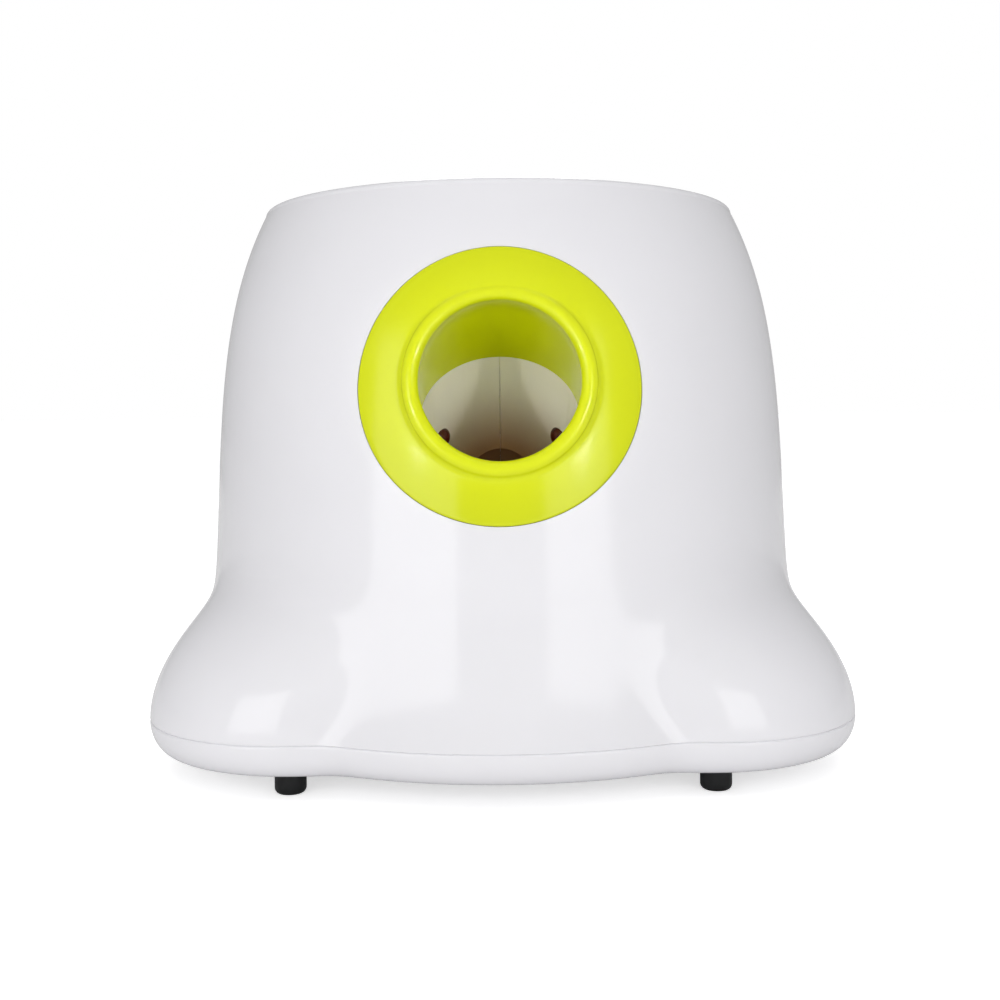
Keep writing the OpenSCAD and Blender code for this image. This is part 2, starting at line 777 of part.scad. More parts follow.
gearbox_outline = belt([
    [54, 20, 6], [94, 20, 6], [98, 68, 5], [96, 106, 5], [44, 108, 5], [41, 77, 6]
]);
pillar_at = [[54, 24], [94, 22], [98, 69], [44, 108]];
bush_r = 5.5;
motor_boss_r = 5;
motor_screw_pitch = 8;
function motor_screw_at() = [for (s = [-1, 1]) motor_at + polar(motor_screw_pitch, motor_dir + s * 90)];

module plate_feet(x0, w) {
    for (y = plate_foot_y)
        translate([x0, y - plate_foot_w / 2, floor_z]) cube([w, plate_foot_w, flange_t]);
}

module bearing_plate() {
    along_x([0, 0, 0], plate_x) linear_extrude(plate_t) polygon(gearbox_outline);
    for (y = plate_foot_y)
        translate([plate_x, y - plate_foot_w / 2, floor_z]) cube([plate_t, plate_foot_w, 9]);
    plate_feet(plate_x - 9, 9 + fuse);
}

module plate_holes() {
    rod(pivot, plate_x - 1, plate_t + 2, bush_r);
    for (p = seat_screws()) translate([p[0], p[1], 0]) cylinder(r = screw_r - 0.2, h = floor_z + flange_t + 1);
}

board_x = -plate_x - plate_t - 6;
board_y = [50, 94];
board_z = [58, 100];
board_t = 1.6;

module board_corners() {
    for (y = [board_y[0] + 4, board_y[1] - 4], z = [board_z[0] + 4, board_z[1] - 4])
        translate([0, y, z]) rotate([0, 90, 0]) children();
}

module bearing_plate_left() {
    color("#c9ccd0")
        difference() {
            union() {
                mirror([1, 0, 0]) bearing_plate();
                translate([board_x, 0, 0]) board_corners() cylinder(r = 3, h = 6 + fuse);
            }
            plate_left_holes();
        }
}

module plate_left_holes() {
    mirror([1, 0, 0]) plate_holes();
    translate([board_x - 1, 0, 0]) board_corners() cylinder(r = 1, h = 6);
}

module bearing_plate_right() {
    color("#c9ccd0")
        difference() {
            bearing_plate();
            plate_holes();
            rod(motor_at, plate_x - 1, plate_t + 2, motor_boss_r + 0.1);
            for (p = motor_screw_at()) rod(p, plate_x - 1, plate_t + 2, screw_hole);
            for (p = pillar_at) rod([0, p[0], p[1]], plate_x - 1, plate_t + 2, screw_hole);
            for (p = [second_at, first_at]) rod(p, plate_x - 1, plate_t + 2, pin_r + 0.02);
            rod(sector_at, plate_x - 1, plate_t + 2, sector_pin_r + 0.02);
        }
}

sector_pin_r = pin_r + 0.5;

module gearbox_cover() {
    color("#d9d9d6")
        difference() {
            union() {
                along_x([0, 0, 0], cover_x) linear_extrude(plate_t) polygon(gearbox_outline);
                for (p = pillar_at) rod([0, p[0], p[1]], train_x, cover_x - train_x + fuse, 3.2);
                for (y = plate_foot_y)
                    translate([cover_x, y - plate_foot_w / 2, floor_z]) cube([plate_t, plate_foot_w, 9]);
            }
            rod(pivot, cover_x - 1, plate_t + 2, shaft_r + run_fit);
            for (p = pillar_at) rod([0, p[0], p[1]], train_x - 1, cover_x + plate_t - train_x - 4, screw_r - 0.2);
            for (p = [second_at, first_at]) rod(p, cover_x - 1, plate_t + 2, pin_r + 0.02);
            rod(sector_at, cover_x - 1, plate_t + 2, sector_pin_r + 0.02);
        }
}

module gear_pins() {
    color("#b8bcc0") {
        for (p = [second_at, first_at]) rod(p, plate_x + 0.5, cover_x + plate_t - plate_x - 1, pin_r);
        rod(sector_at, plate_x + 0.5, cover_x + plate_t - plate_x - 1, sector_pin_r);
    }
}

// ---------- hammer ----------

pad_front = -0.3;
pad_t = 3.3;
arm_front = pad_front - pad_t;
arm_back = arm_front - 7.5;

// Puts its children in the tube's frame, moved to the hammer's shaft
module at_pivot() {
    translate(pivot) rotate([90 - tube_angle, 0, 0]) children();
}

// Outline of the hammer's arm: x is along the tube, y is over it
module arm_outline() {
    polygon([
        [hub_r - 1, 0], [arm_front, -hub_r - 6], [arm_front, -hammer_arm - pad_r],
        [arm_front - 4, -hammer_arm - pad_r], [arm_back, -hammer_arm - pad_r + 4],
        [arm_back, -hammer_arm + pad_r], [arm_back + 1.5, -hammer_arm + pad_r + 4], [-hub_r - 1, -hub_r - 4],
        [1 - hub_r, 0]
    ]);
}

module hammer() {
    color("#2b2b2e")
        difference() {
            union() {
                at_pivot() rotate([0, -90, 0]) linear_extrude(2 * arm_half_w, center = true) arm_outline();
                rod(pivot, -9, 18, hub_r);
            }
            rod(pivot, -10, 20, shaft_r + 0.02);
            for (s = [-1, 1]) at_pivot() translate([s * (arm_half_w + 1), 0, 0]) rotate([0, -90, 0])
                linear_extrude(arm_half_w, center = true)
                    polygon([[arm_front - 1.6, -hub_r - 9], [arm_front - 1.6, -hammer_arm + pad_r],
                        [arm_back + 2.6, -hammer_arm + pad_r + 2], [-hub_r, -hub_r - 8]]);
        }
}

module hammer_pad() {
    color("#1a1a1a")
        at_pivot() translate([0, -hammer_arm, arm_front]) rotate_extrude()
            polygon([[0, 0], [pad_r, 0], [pad_r, pad_t - 1], [pad_r - 1, pad_t], [0, pad_t]]);
}

shaft_end = 3;

module hammer_shaft() {
    color("#b8bcc0")
        difference() {
            rod(pivot, -plate_x - plate_t - shaft_end, plate_x + cover_x + 2 * plate_t + 2 * shaft_end, shaft_r);
            for (x = clip_x()) along_x(pivot, x) difference() {
                cylinder(r = shaft_r + 1, h = clip_t + 0.1);
                translate([0, 0, -1]) cylinder(r = shaft_r - 0.6, h = clip_t + 2);
            }
        }
}

clip_t = 0.8;
function clip_x() = [-plate_x - plate_t - 1.4, cover_x + plate_t + 0.4];

module shaft_clips() {
    color("#8f9296")
        for (x = clip_x()) along_x(pivot, x + 0.05) linear_extrude(clip_t) difference() {
            circle(r = shaft_r + 2);
            circle(r = shaft_r - 0.55);
            translate([0, -shaft_r + 0.9]) square([2 * shaft_r, 2 * shaft_r - 1.8]);
        }
}

module hammer_bushes() {
    color("#b5894a")
        for (s = [0, 1]) mirror([s, 0, 0]) along_x(pivot, plate_x) rotate_extrude()
            polygon([[shaft_r + run_fit, -1.4], [bush_r + 1.6, -1.4], [bush_r + 1.6, 0], [bush_r - 0.02, 0],
                [bush_r - 0.02, plate_t], [shaft_r + run_fit, plate_t]]);
}

spring_r = 6.4;
spring_wire = 0.9;
spring_turns = 6;
spring_from = -plate_x + 3.2;
spring_to = -10.4;
spring_leg = 16;
curl_rings = 8;
wire_sides = 6;

// Centre of the wire at step i, with its legs straight off both ends
spring_steps = spring_turns * curl_rings;
function spring_angle(i) = -135 + 360 * min(max(i, 0), spring_steps) / curl_rings;
function spring_ring(i) =
    let (
        a = spring_angle(i),
        x = spring_from + (spring_to - spring_from) * min(max(i, 0), spring_steps) / spring_steps,
        over = i < 0 ? -spring_leg : i > spring_steps ? spring_leg : 0
    )
    [
        for (k = [0 : wire_sides - 1])
            let (b = 360 * k / wire_sides, r = spring_r + spring_wire * cos(b))
            pivot + [x + spring_wire * sin(b), r * cos(a) - over * sin(a), r * sin(a) + over * cos(a)]
    ];

module hammer_spring() {
    n = spring_steps + 3;
    rings = [for (i = [-1 : spring_steps + 1]) each spring_ring(i)];
    color("#9a9ea3")
        polyhedron(
            points = rings,
            faces = concat(
                [for (j = [0 : n - 2], k = [0 : wire_sides - 1])
                    let (a = j * wire_sides, b = a + wire_sides, m = (k + 1) % wire_sides)
                    each [[a + k, a + m, b + m], [a + k, b + m, b + k]]],
                [[for (k = [wire_sides - 1 : -1 : 0]) k]],
                [[for (k = [0 : wire_sides - 1]) (n - 1) * wire_sides + k]]
            )
        );
    pitch = (spring_to - spring_from) / spring_turns;
    echo("least gap between the spring's turns", pitch - 2 * spring_wire);
}

// ---------- gears ----------

gear_bore = pin_r + run_fit;

// Teeth that a segment keeps beyond its last contact, as a share of the pitch
spare_teeth = 1.6;
sector_turn = hammer_swing * hammer_teeth / sector_teeth;

// First and last tooth of a segment that is in mesh between two of its own angles
function teeth_between(n, phase, a, b) =
    [ceil((a - phase) * n / 360 - spare_teeth), floor((b - phase) * n / 360 + spare_teeth)];

hammer_span = teeth_between(hammer_teeth, hammer_phase, sector_dir - hammer_swing, sector_dir);
sector_span = teeth_between(sector_teeth, sector_phase, sector_dir + 180, sector_dir + 180 + sector_turn);

// The hammer's quadrant: its teeth lie where the sector's teeth meet them over the whole swing
module hammer_gear() {
    color("#e8e4d8")
        difference() {
            union() {
                along_x(pivot, stage_d)
                    part_gear(hammer_module, hammer_teeth, hammer_phase, hammer_span, stage_d_w);
                rod(pivot, stage_d, cover_x - end_play - stage_d, hub_r);
            }
            rod(pivot, stage_d - 1, cover_x - stage_d + 2, shaft_r + 0.02);
        }
}

module sector_gear() {
    color("#e8e4d8")
        difference() {
            union() {
                along_x(sector_at, stage_c) full_gear(wheel_module, wheel_teeth, wheel_phase, stage_c_w);
                along_x(sector_at, stage_d)
                    part_gear(hammer_module, sector_teeth, sector_phase, sector_span, stage_d_w);
                rod(sector_at, train_x + end_play, cover_x - train_x - 2 * end_play, 5);
                rod(sector_at, stage_c, cover_x - end_play - stage_c, hub_r);
            }
            rod(sector_at, train_x - 1, cover_x - train_x + 2, sector_pin_r + run_fit);
            for (i = [0 : 5]) rod(sector_at + polar(15, 60 * i + 30), stage_c - 1, 2.4, 4.5);
        }
}

module compound_gear(at, big_m, big_n, big_phase, big_x, big_w, small_m, small_n, small_phase, small_x, small_w) {
    difference() {
        union() {
            along_x(at, big_x) full_gear(big_m, big_n, big_phase, big_w);
            along_x(at, small_x) full_gear(small_m, small_n, small_phase, small_w);
            rod(at, train_x + end_play, cover_x - train_x - 2 * end_play, gear_bore + 1);
        }
        rod(at, train_x - 1, cover_x - train_x + 2, gear_bore);
    }
}

module second_gear() {
    color("#dcd8cc")
        compound_gear(second_at, second_module, second_teeth, second_phase, stage_b, stage_b_w + fuse,
            wheel_module, second_pinion_teeth, second_pinion_phase, stage_b + stage_b_w, stage_c_w + 1);
}

module first_gear() {
    color("#dcd8cc")
        compound_gear(first_at, first_module, first_teeth, first_phase, stage_a, stage_a_w + fuse,
            second_module, first_pinion_teeth, first_pinion_phase, stage_a + stage_a_w, stage_b_w + 1);
}

// ---------- motor ----------

motor_shaft_r = 1.5;

module motor_can() {
    color("#a9adb1")
        difference() {
            union() {
                rod(motor_at, plate_x - motor_l, motor_l, motor_r);
                rod(motor_at, plate_x - fuse, plate_t - 0.5 + fuse, motor_boss_r);
            }
            rod(motor_at, plate_x - motor_l - 1, motor_l - 1, motor_r - 1.2);
            rod(motor_at, plate_x - 5, 12, motor_shaft_r + 0.4);
            for (p = motor_screw_at()) rod(p, plate_x - 4, 5, screw_r - 0.2);
            for (a = [0 : 90 : 270]) along_x(motor_at, plate_x - 3) rotate([0, 0, a + 45])
                translate([motor_r - 7, -2.5, 0]) cube([3, 5, 5]);
        }
}

module motor_end_cap() {
    color("#26282b")
        difference() {
            union() {
                rod(motor_at, plate_x - motor_l, 4, motor_r - 1.25);
                rod(motor_at, plate_x - motor_l - 3, 3 + fuse, motor_r - 3);
                for (s = [-1, 1]) along_x(motor_at, plate_x - motor_l - 8)
                    translate([s * 8 - 0.4, -2, 0]) cube([0.8, 4, 6]);
            }
            rod(motor_at, plate_x - motor_l - 2, 10, motor_shaft_r + run_fit);
        }
}

module motor_shaft() {
    color("#b8bcc0") rod(motor_at, plate_x - motor_l - 1, motor_l + 1 + plate_t + 1 + stage_a_w, motor_shaft_r);
}

module motor_pinion() {
    color("#b5894a")
        difference() {
            along_x(motor_at, stage_a) full_gear(first_module, motor_teeth, motor_phase, stage_a_w);
            rod(motor_at, stage_a - 1, stage_a_w + 2, motor_shaft_r + 0.02);
        }
}

// A pan-head screw that stands on z = 0 and reaches down, with a plain cross-free head
module screw(length, head_r = 2.8, head_h = 1.6, shank = screw_r - 0.25) {
    rotate_extrude()
        polygon([[0, -length], [shank - 0.4, -length], [shank, -length + 0.8], [shank, 0], [head_r, 0],
            [head_r, head_h * 0.55], [head_r - 0.7, head_h], [0, head_h]]);
}

module motor_screws() {
    color("#8f9296")
        for (p = motor_screw_at()) along_x(p, train_x) screw(plate_t + 2.6, 2.6, 0.9);
}

// ---------- batteries ----------

cell_x = bay_x + 2.8;

module cells(side) {
    color("#4a5a6a")
        mirror([side > 0 ? 0 : 1, 0, 0])
            for (i = [-1 : 1]) translate([cell_x, i * bay_pitch, cell_z]) rotate([0, 90, 0]) {
                cylinder(r = cell_r, h = cell_l - 1.6);
                cylinder(r = 3.2, h = cell_l);
            }
}

module cells_left() { cells(-1); }
module cells_right() { cells(1); }

leaf_t = 0.4;

module battery_contacts() {
    near = cell_x - bay_x;
    far = bay_l - near - cell_l;
    color("#c2c4c6")
        each_side() for (i = [-1 : 1]) {
            translate([bay_x, i * bay_pitch, cell_z]) rotate([0, 90, 0]) leaf_stack(near);
            translate([bay_x + bay_l, i * bay_pitch, cell_z]) rotate([0, -90, 0]) leaf_stack(far);
        }
}

// A leaf in the plane of z: feet on z = 0, crown at the cell's end
module leaf_stack(crown) {
    rotate([90, 0, 0]) linear_extrude(9, center = true)
        polygon([[-7, 0], [-4, 0], [0, crown - leaf_t], [4, 0], [7, 0], [7, leaf_t], [4.2, leaf_t], [0, crown],
            [-4.2, leaf_t], [-7, leaf_t]]);
}

module battery_door() {
    edge = door_edge - door_gap;
    far = bay_x + bay_l + 1 - door_gap;
    difference() {
        union() {
            translate([hinge_x, -edge, pan_z]) cube([far - hinge_x, 2 * edge, pan_wall - 0.1]);
            along_y(hinge_x, hinge_z, -edge, edge, hinge_r);
            along_y(hinge_x, hinge_z, -edge - hinge_pin_l, edge + hinge_pin_l, hinge_pin_r);
            for (i = [-1 : 1], s = [-1, 1]) translate([cell_x + 6, i * bay_pitch + s * 2 - 0.6, floor_z - 0.3])
                cube([cell_l - 14, 1.2, 1.1]);
        }
        translate([far, 0, pan_z - 3]) cylinder(r = 8, h = 4.2);
        for (i = [0 : 4]) translate([hinge_x + 12 + 9 * i, -24, pan_z - 1]) cube([2, 48, 1.6]);
    }
}

module battery_door_right() { color("white") battery_door(); }
module battery_door_left() { color("white") mirror([1, 0, 0]) battery_door(); }

// ---------- controls on the back ----------

button_x = button_pitch / 2;
dome_y = trunk_r(panel_z) - 15;
led_pitch = 8;
led_r = 1.9;
skirt_r = button_r + 1.4;
collar_r = led_r + 0.8;

// How far back a collar of radius r, at x, stands just behind the panel's inner face
function behind_panel(x, r) =
    sqrt(pow(trunk_r(panel_z + r) - flange_out, 2) - pow(x + r, 2)) - 2 * run_fit;

// Posts that carry the control board behind the panel
post_x = button_x + 9;
post_z = 9;
board_front = dome_y - 4;

module control_panel() {
    reach = panel_r + 8;
    color("#e9e9e6")
        difference() {
            union() {
                intersection() {
                    trunk_layer(-flange_in, -flange_out, panel_z - reach, panel_z + reach, 9);
                    panel_prism(3, waist_r - 40, waist_r + 10);
                }
                intersection() {
                    trunk_layer(0.5, fuse - flange_out, panel_z - reach, panel_z + reach, 9);
                    panel_prism(0, waist_r - 50, waist_r + 20);
                }
                for (s = [-1, 1], t = [-1, 1]) along_y(s * post_x, panel_z + t * post_z, board_front,
                    sqrt(pow(trunk_r(panel_z) - flange_in, 2) - pow(post_x, 2)) - 0.8, 2);
            }
            for (s = [-1, 1]) along_y(s * button_x, panel_z, waist_r - 30, waist_r + 10, button_r + 0.25);
            for (i = [-1 : 1]) along_y(i * led_pitch, panel_z, waist_r - 30, waist_r + 10, led_r + run_fit);
            for (s = [-1, 1], t = [-1, 1])
                along_y(s * post_x, panel_z + t * post_z, board_front - 1, board_front + 4, 0.8);
        }
}

// A round button with a domed cap, a skirt that stops it behind the panel and a stem onto its switch
module push_button(side) {
    depth = sqrt(pow(trunk_r(panel_z), 2) - pow(button_x, 2));
    crown = depth + 1.9;
    skirt = behind_panel(button_x, skirt_r);
    stem = dome_y + button_travel + 0.35;
    translate([side * button_x, 0, panel_z]) rotate([-90, 0, 0]) rotate_extrude()
        polygon(concat(
            [[0, stem], [2.2, stem], [2.2, skirt - 1.6], [skirt_r, skirt - 1.6], [skirt_r, skirt],
                [button_r, skirt]],
            [for (a = [0 : 15 : 90]) [button_r - 1.2 + 1.2 * cos(a), crown - 1.6 + 1.2 * sin(a)]],
            [[0, crown]]
        ));
}

module power_button() { color("#d9372c") push_button(-1); }
module distance_button() { color("#c9d521") push_button(1); }

module indicator_lenses() {
    face = trunk_r(panel_z);
    collar = behind_panel(led_pitch, collar_r);
    color("#dfe8e2")
        for (i = [-1 : 1]) translate([i * led_pitch, 0, panel_z]) rotate([-90, 0, 0]) rotate_extrude()
            polygon([[0, collar - 4], [collar_r, collar - 4], [collar_r, collar], [led_r, collar],
                [led_r, face + 0.6], [led_r - 0.5, face + 1.1], [0, face + 1.2]]);
}

module control_board() {
    half = button_x + 12;
    color("#2f6b46")
        difference() {
            union() {
                translate([-half, board_front - board_t, panel_z - 12]) cube([2 * half, board_t, 24]);
                for (s = [-1, 1]) {
                    translate([s * button_x - 3, board_front - fuse, panel_z - 3]) cube([6, 3.2 + fuse, 6]);
                    along_y(s * button_x, panel_z, board_front - fuse, board_front + 4, 1.7);
                }
            }
            for (s = [-1, 1], t = [-1, 1])
                along_y(s * post_x, panel_z + t * post_z, board_front - board_t - 1, board_front + 1, 1);
        }
}

// ---------- electronics ----------

module main_board() {
    color("#2f6b46")
        difference() {
            translate([board_x - board_t, board_y[0], board_z[0]])
                cube([board_t, board_y[1] - board_y[0], board_z[1] - board_z[0]]);
            translate([board_x - board_t - 1, 0, 0]) board_corners() cylinder(r = 1.2, h = board_t + 2);
        }
}

module board_parts() {
    face = board_x - board_t;
    y0 = board_y[0];
    z0 = board_z[0];
    color("#33363a") {
        translate([face - 1.6, y0 + 14, z0 + 14]) cube([1.6, 12, 12]);
        for (i = [0 : 1]) translate([face, y0 + 34, z0 + 10 + 12 * i]) rotate([0, -90, 0]) cylinder(r = 4, h = 11);
        translate([face - 7, y0 + 10, z0 + 33]) cube([7, 16, 6]);
        translate([face - 4.5, y0 + 30, z0 + 32]) cube([4.5, 6, 7]);
        translate([face - 12, y0 + 6, z0 + 3]) cube([12, 14, 7]);
    }
}

module buzzer() {
    face = board_x - board_t;
    color("#1f1f21")
        translate([face, board_y[0] + 8, board_z[0] + 24]) rotate([0, -90, 0]) difference() {
            cylinder(r = 5.5, h = 7);
            translate([0, 0, 3]) cylinder(r = 1.2, h = 5);
        }
}

module dc_jack() {
    face = jack_wall_y - 7;
    color("#1f1f21")
        difference() {
            union() {
                translate([jack_x - jack_w / 2, face - jack_l, jack_z - jack_h / 2]) cube([jack_w, jack_l, jack_h]);
                along_y(jack_x, jack_z, face - fuse, jack_wall_y - 2.2, jack_r);
            }
            along_y(jack_x, jack_z, face - 10, jack_wall_y + 1, 3);
        }
    color("#c2c4c6") along_y(jack_x, jack_z, face - 10.5, jack_wall_y - 4, 1);
}

// ---------- fasteners ----------

module base_screws() {
    color("#8f9296") {
        each_quarter() rotate([0, 0, -90 + lobe_angle]) translate([post_at, 0, pan_z + 4]) rotate([180, 0, 0])
            screw(22);
    }
}

module tube_screws() {
    color("#8f9296") for (p = tube_screw_at) at_tube_screw(p, flange_half) screw(2 * flange_half + 1);
}

module plate_screws() {
    color("#8f9296") for (p = seat_screws()) translate([p[0], p[1], pan_z + 1]) rotate([180, 0, 0])
        screw(7, 2.8, 0.9);
}

module gearbox_screws() {
    color("#8f9296") for (p = pillar_at) along_x([0, p[0], p[1]], plate_x) rotate([180, 0, 0])
        screw(12, 2.8, 1.4);
}

// ---------- leads ----------

lead_r = 0.8;

// A lead laid along straight runs, with a round bead at each bend
module lead(points) {
    for (i = [0 : len(points) - 2]) {
        d = points[i + 1] - points[i];
        translate(points[i]) rotate([0, acos(d[2] / norm(d)), atan2(d[1], d[0])]) cylinder(r = lead_r, h = norm(d));
        if (i > 0) translate(points[i]) sphere(r = lead_r + 0.04);
    }
}

// Where leads enter the sockets on the board, at a place along its upper and lower socket
plug_x = board_x - board_t - 3.5;
function upper_plug(y) = [plug_x, board_y[0] + y, board_z[0] + 39];
function lower_plug(y) = [plug_x - 2.5, board_y[0] + y, board_z[0] + 3];
over_plate_z = 117;
// Height of the leads that run along the floor
low_z = floor_z + 2.8;
// Where a lead leaves a bay through its roof, beside the leaf of the rearmost cell
exit_x = bay_x + leaf_t + lead_r + 0.05;

module motor_leads() {
    tag_x = plate_x - motor_l - 8.5;
    color("#b02020")
        for (s = [0, 1])
            let (y = motor_at[1] - 8 + 16 * s, x = tag_x - 8 - 4 * s, z = over_plate_z + 3 * s, end = upper_plug(18 + 5 * s))
            lead([[tag_x, y, motor_at[2]], [x, y, motor_at[2]], [x, end[1], z], [end[0], end[1], z], end]);
}

module battery_leads() {
    jack_back = jack_wall_y - 7 - jack_l;
    left_end = lower_plug(8);
    right_end = lower_plug(12);
    jack_end = lower_plug(16);
    color("#202020") {
        lead([[-exit_x, bay_pitch, cell_z + 8], [-exit_x, bay_pitch, 50], [left_end[0], left_end[1], 50], left_end]);
        lead([[exit_x, bay_pitch, cell_z + 8], [exit_x, bay_pitch, 46], [30, 30, 46], [30, 107, low_z],
            [-44, 107, low_z], [-44, 107, 50], [right_end[0], right_end[1], 52], right_end]);
        lead([[jack_x - 3, jack_back, jack_z], [jack_x - 3, jack_back - 3.5, jack_z],
            [31, 113, low_z], [-47, 113, low_z],
            [-47, 113, 46], [jack_end[0], jack_end[1], 54], jack_end]);
    }
}

// A point straight out from a sensor's board
function off_sensor(side, out) = tube_point(0, sensor_s) + (tube_r + sensor_boss + 1.6 + out)
    * [side * sin(sensor_angle), cos(sensor_angle) * sin(tube_angle), cos(sensor_angle) * cos(tube_angle)];

module sensor_leads() {
    color("#404040") {
        lead([off_sensor(-1, 0), off_sensor(-1, 3), [-44, -34, 128], [-50, 36, 108], upper_plug(11) + [0, 0, 8],
            upper_plug(11)]);
        lead([off_sensor(1, 0), off_sensor(1, 3), [42, -20, 130], [40, 26, 122], [20, 46, 120], [-40, 52, 119],
            upper_plug(14.5) + [0, 0, 14], upper_plug(14.5)]);
    }
}

upper_shell();
base_pan();
foot_front_left();
foot_front_right();
foot_rear_left();
foot_rear_right();
hopper_bowl();
barrel_ring();
launch_tube_left();
launch_tube_right();
sensor_window_left();
sensor_window_right();
sensor_emitter();
sensor_receiver();
bearing_plate_left();
bearing_plate_right();
gearbox_cover();
gear_pins();
hammer();
hammer_pad();
hammer_shaft();
hammer_bushes();
shaft_clips();
hammer_spring();
hammer_gear();
sector_gear();
second_gear();
first_gear();
motor_can();
motor_end_cap();
motor_shaft();
motor_pinion();
motor_screws();
cells_left();
cells_right();
battery_contacts();
battery_door_left();
battery_door_right();
control_panel();
power_button();
distance_button();
indicator_lenses();
control_board();
main_board();
board_parts();
buzzer();
dc_jack();
base_screws();
tube_screws();
plate_screws();
gearbox_screws();
motor_leads();
battery_leads();
sensor_leads();
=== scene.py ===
# Look of an automatic ball launcher for dogs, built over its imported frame.
# Metres. +Z is up, the launch mouth faces -Y, and the origin is on the floor under the middle.

import math

import bmesh
import bpy
import numpy as np
from bpy.props import FloatProperty, FloatVectorProperty, IntProperty, PointerProperty
from mathutils import Matrix, Vector
from mathutils.bvhtree import BVHTree


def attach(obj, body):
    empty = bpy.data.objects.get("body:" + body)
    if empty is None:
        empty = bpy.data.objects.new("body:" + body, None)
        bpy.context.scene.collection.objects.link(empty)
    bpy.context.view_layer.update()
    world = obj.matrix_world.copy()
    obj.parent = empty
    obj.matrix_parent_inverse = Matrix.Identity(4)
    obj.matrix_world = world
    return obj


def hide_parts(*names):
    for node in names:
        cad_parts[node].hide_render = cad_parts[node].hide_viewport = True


bl_info = {
    "name": "Dog ball launcher",
    "version": (1, 0, 0),
    "blender": (4, 5, 0),
    "location": "3D View > Sidebar > Launcher",
    "description": "Moulded skins, launch path, mechanism and studio for an automatic dog ball launcher",
    "category": "Object",
}

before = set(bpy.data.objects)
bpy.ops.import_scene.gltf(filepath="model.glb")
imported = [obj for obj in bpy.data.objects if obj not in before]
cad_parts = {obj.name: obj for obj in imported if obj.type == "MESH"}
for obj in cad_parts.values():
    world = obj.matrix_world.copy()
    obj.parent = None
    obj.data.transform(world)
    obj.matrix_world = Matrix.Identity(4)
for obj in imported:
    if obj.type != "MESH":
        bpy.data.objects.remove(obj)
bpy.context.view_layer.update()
MM = 0.001
CORNERS = ((1, 1), (1, -1), (-1, 1), (-1, -1))
# vertices of a solid's mesh that lie nearer than this are one
MERGE = 0.002 * MM


def linear(code):
    """An sRGB hex colour as linear red, green and blue."""
    parts = [int(code[i : i + 2], 16) / 255 for i in (1, 3, 5)]
    return tuple(p / 12.92 if p <= 0.04045 else ((p + 0.055) / 1.055) ** 2.4 for p in parts)


# ---------- sizes and colours ----------


def length(name, description, default):
    """A length property from millimetres."""
    return FloatProperty(name=name, description=description, default=default * MM, unit="LENGTH", precision=5)


def number(name, description, default):
    """A property without a unit."""
    return FloatProperty(name=name, description=description, default=default, unit="NONE")


def degrees(name, description, default):
    """An angle property from degrees."""
    return FloatProperty(name=name, description=description, default=math.radians(default), unit="ROTATION")


def colour(name, description, code):
    """A colour property from an sRGB hex colour."""
    return FloatVectorProperty(
        name=name, description=description, default=linear(code), subtype="COLOR", min=0, max=1
    )


class BodySizes(bpy.types.PropertyGroup):
    """Sizes of the moulded body."""

    rim_z: length("Rim height", "Height of the rim above the floor", 228.6)
    seam_z: length("Parting line height", "Height of the line between shell and pan", 21.4)
    seam_r: length("Parting line radius", "Radius of the body at the parting line, between the feet", 140.9)
    waist_r: length("Waist radius", "Radius of the body above its feet", 126.5)
    waist_z: length("Waist height", "Height of the waist", 71.5)
    taper: length("Taper", "How much the body narrows evenly from waist to rim", 5.5)
    shoulder_drop: length("Shoulder drop", "How much the shoulder draws in under the rim", 18.3)
    shoulder_power: number("Shoulder power", "How late the shoulder draws in", 4.2)
    shell_wall: length("Shell wall", "Wall of the shell", 2.8)
    rim_roll: length("Rim roll", "Radius of the rolled rim", 2.5)
    lobe_angle: degrees("Foot direction", "Direction of each rounded foot from the front", 50)
    lobe_r: length("Foot radius", "Radius of each rounded foot in plan", 58.6)
    lobe_c: length("Foot distance", "Distance from the middle to the centre of each rounded foot", 105.9)
    lobe_draw: length("Foot draw", "How far that centre moves in by the height of the waist", 38)
    lobe_blend: length("Low valley softness", "Softness of the valley beside a foot, at the parting line", 3)
    lobe_blend_top: length("High valley softness", "Softness of that valley at the waist", 6)
    pan_z: length("Pan clearance", "Clearance of the pan above the floor", 8.6)
    pan_round: length("Pan rounding", "How far the pan's edge draws in", 10)
    pan_wall: length("Pan wall", "Thickness of the pan", 2.6)
    groove: length("Groove", "Depth of the fine groove along the parting line", 0.5)
    ledge_depth: length("Ledge depth", "Depth of the ledge under the rim that carries the bowl", 9)
    ledge_w: length("Ledge width", "Width of that ledge", 5)
    around: IntProperty(name="Divisions", description="Divisions of the skins round the body", default=320)


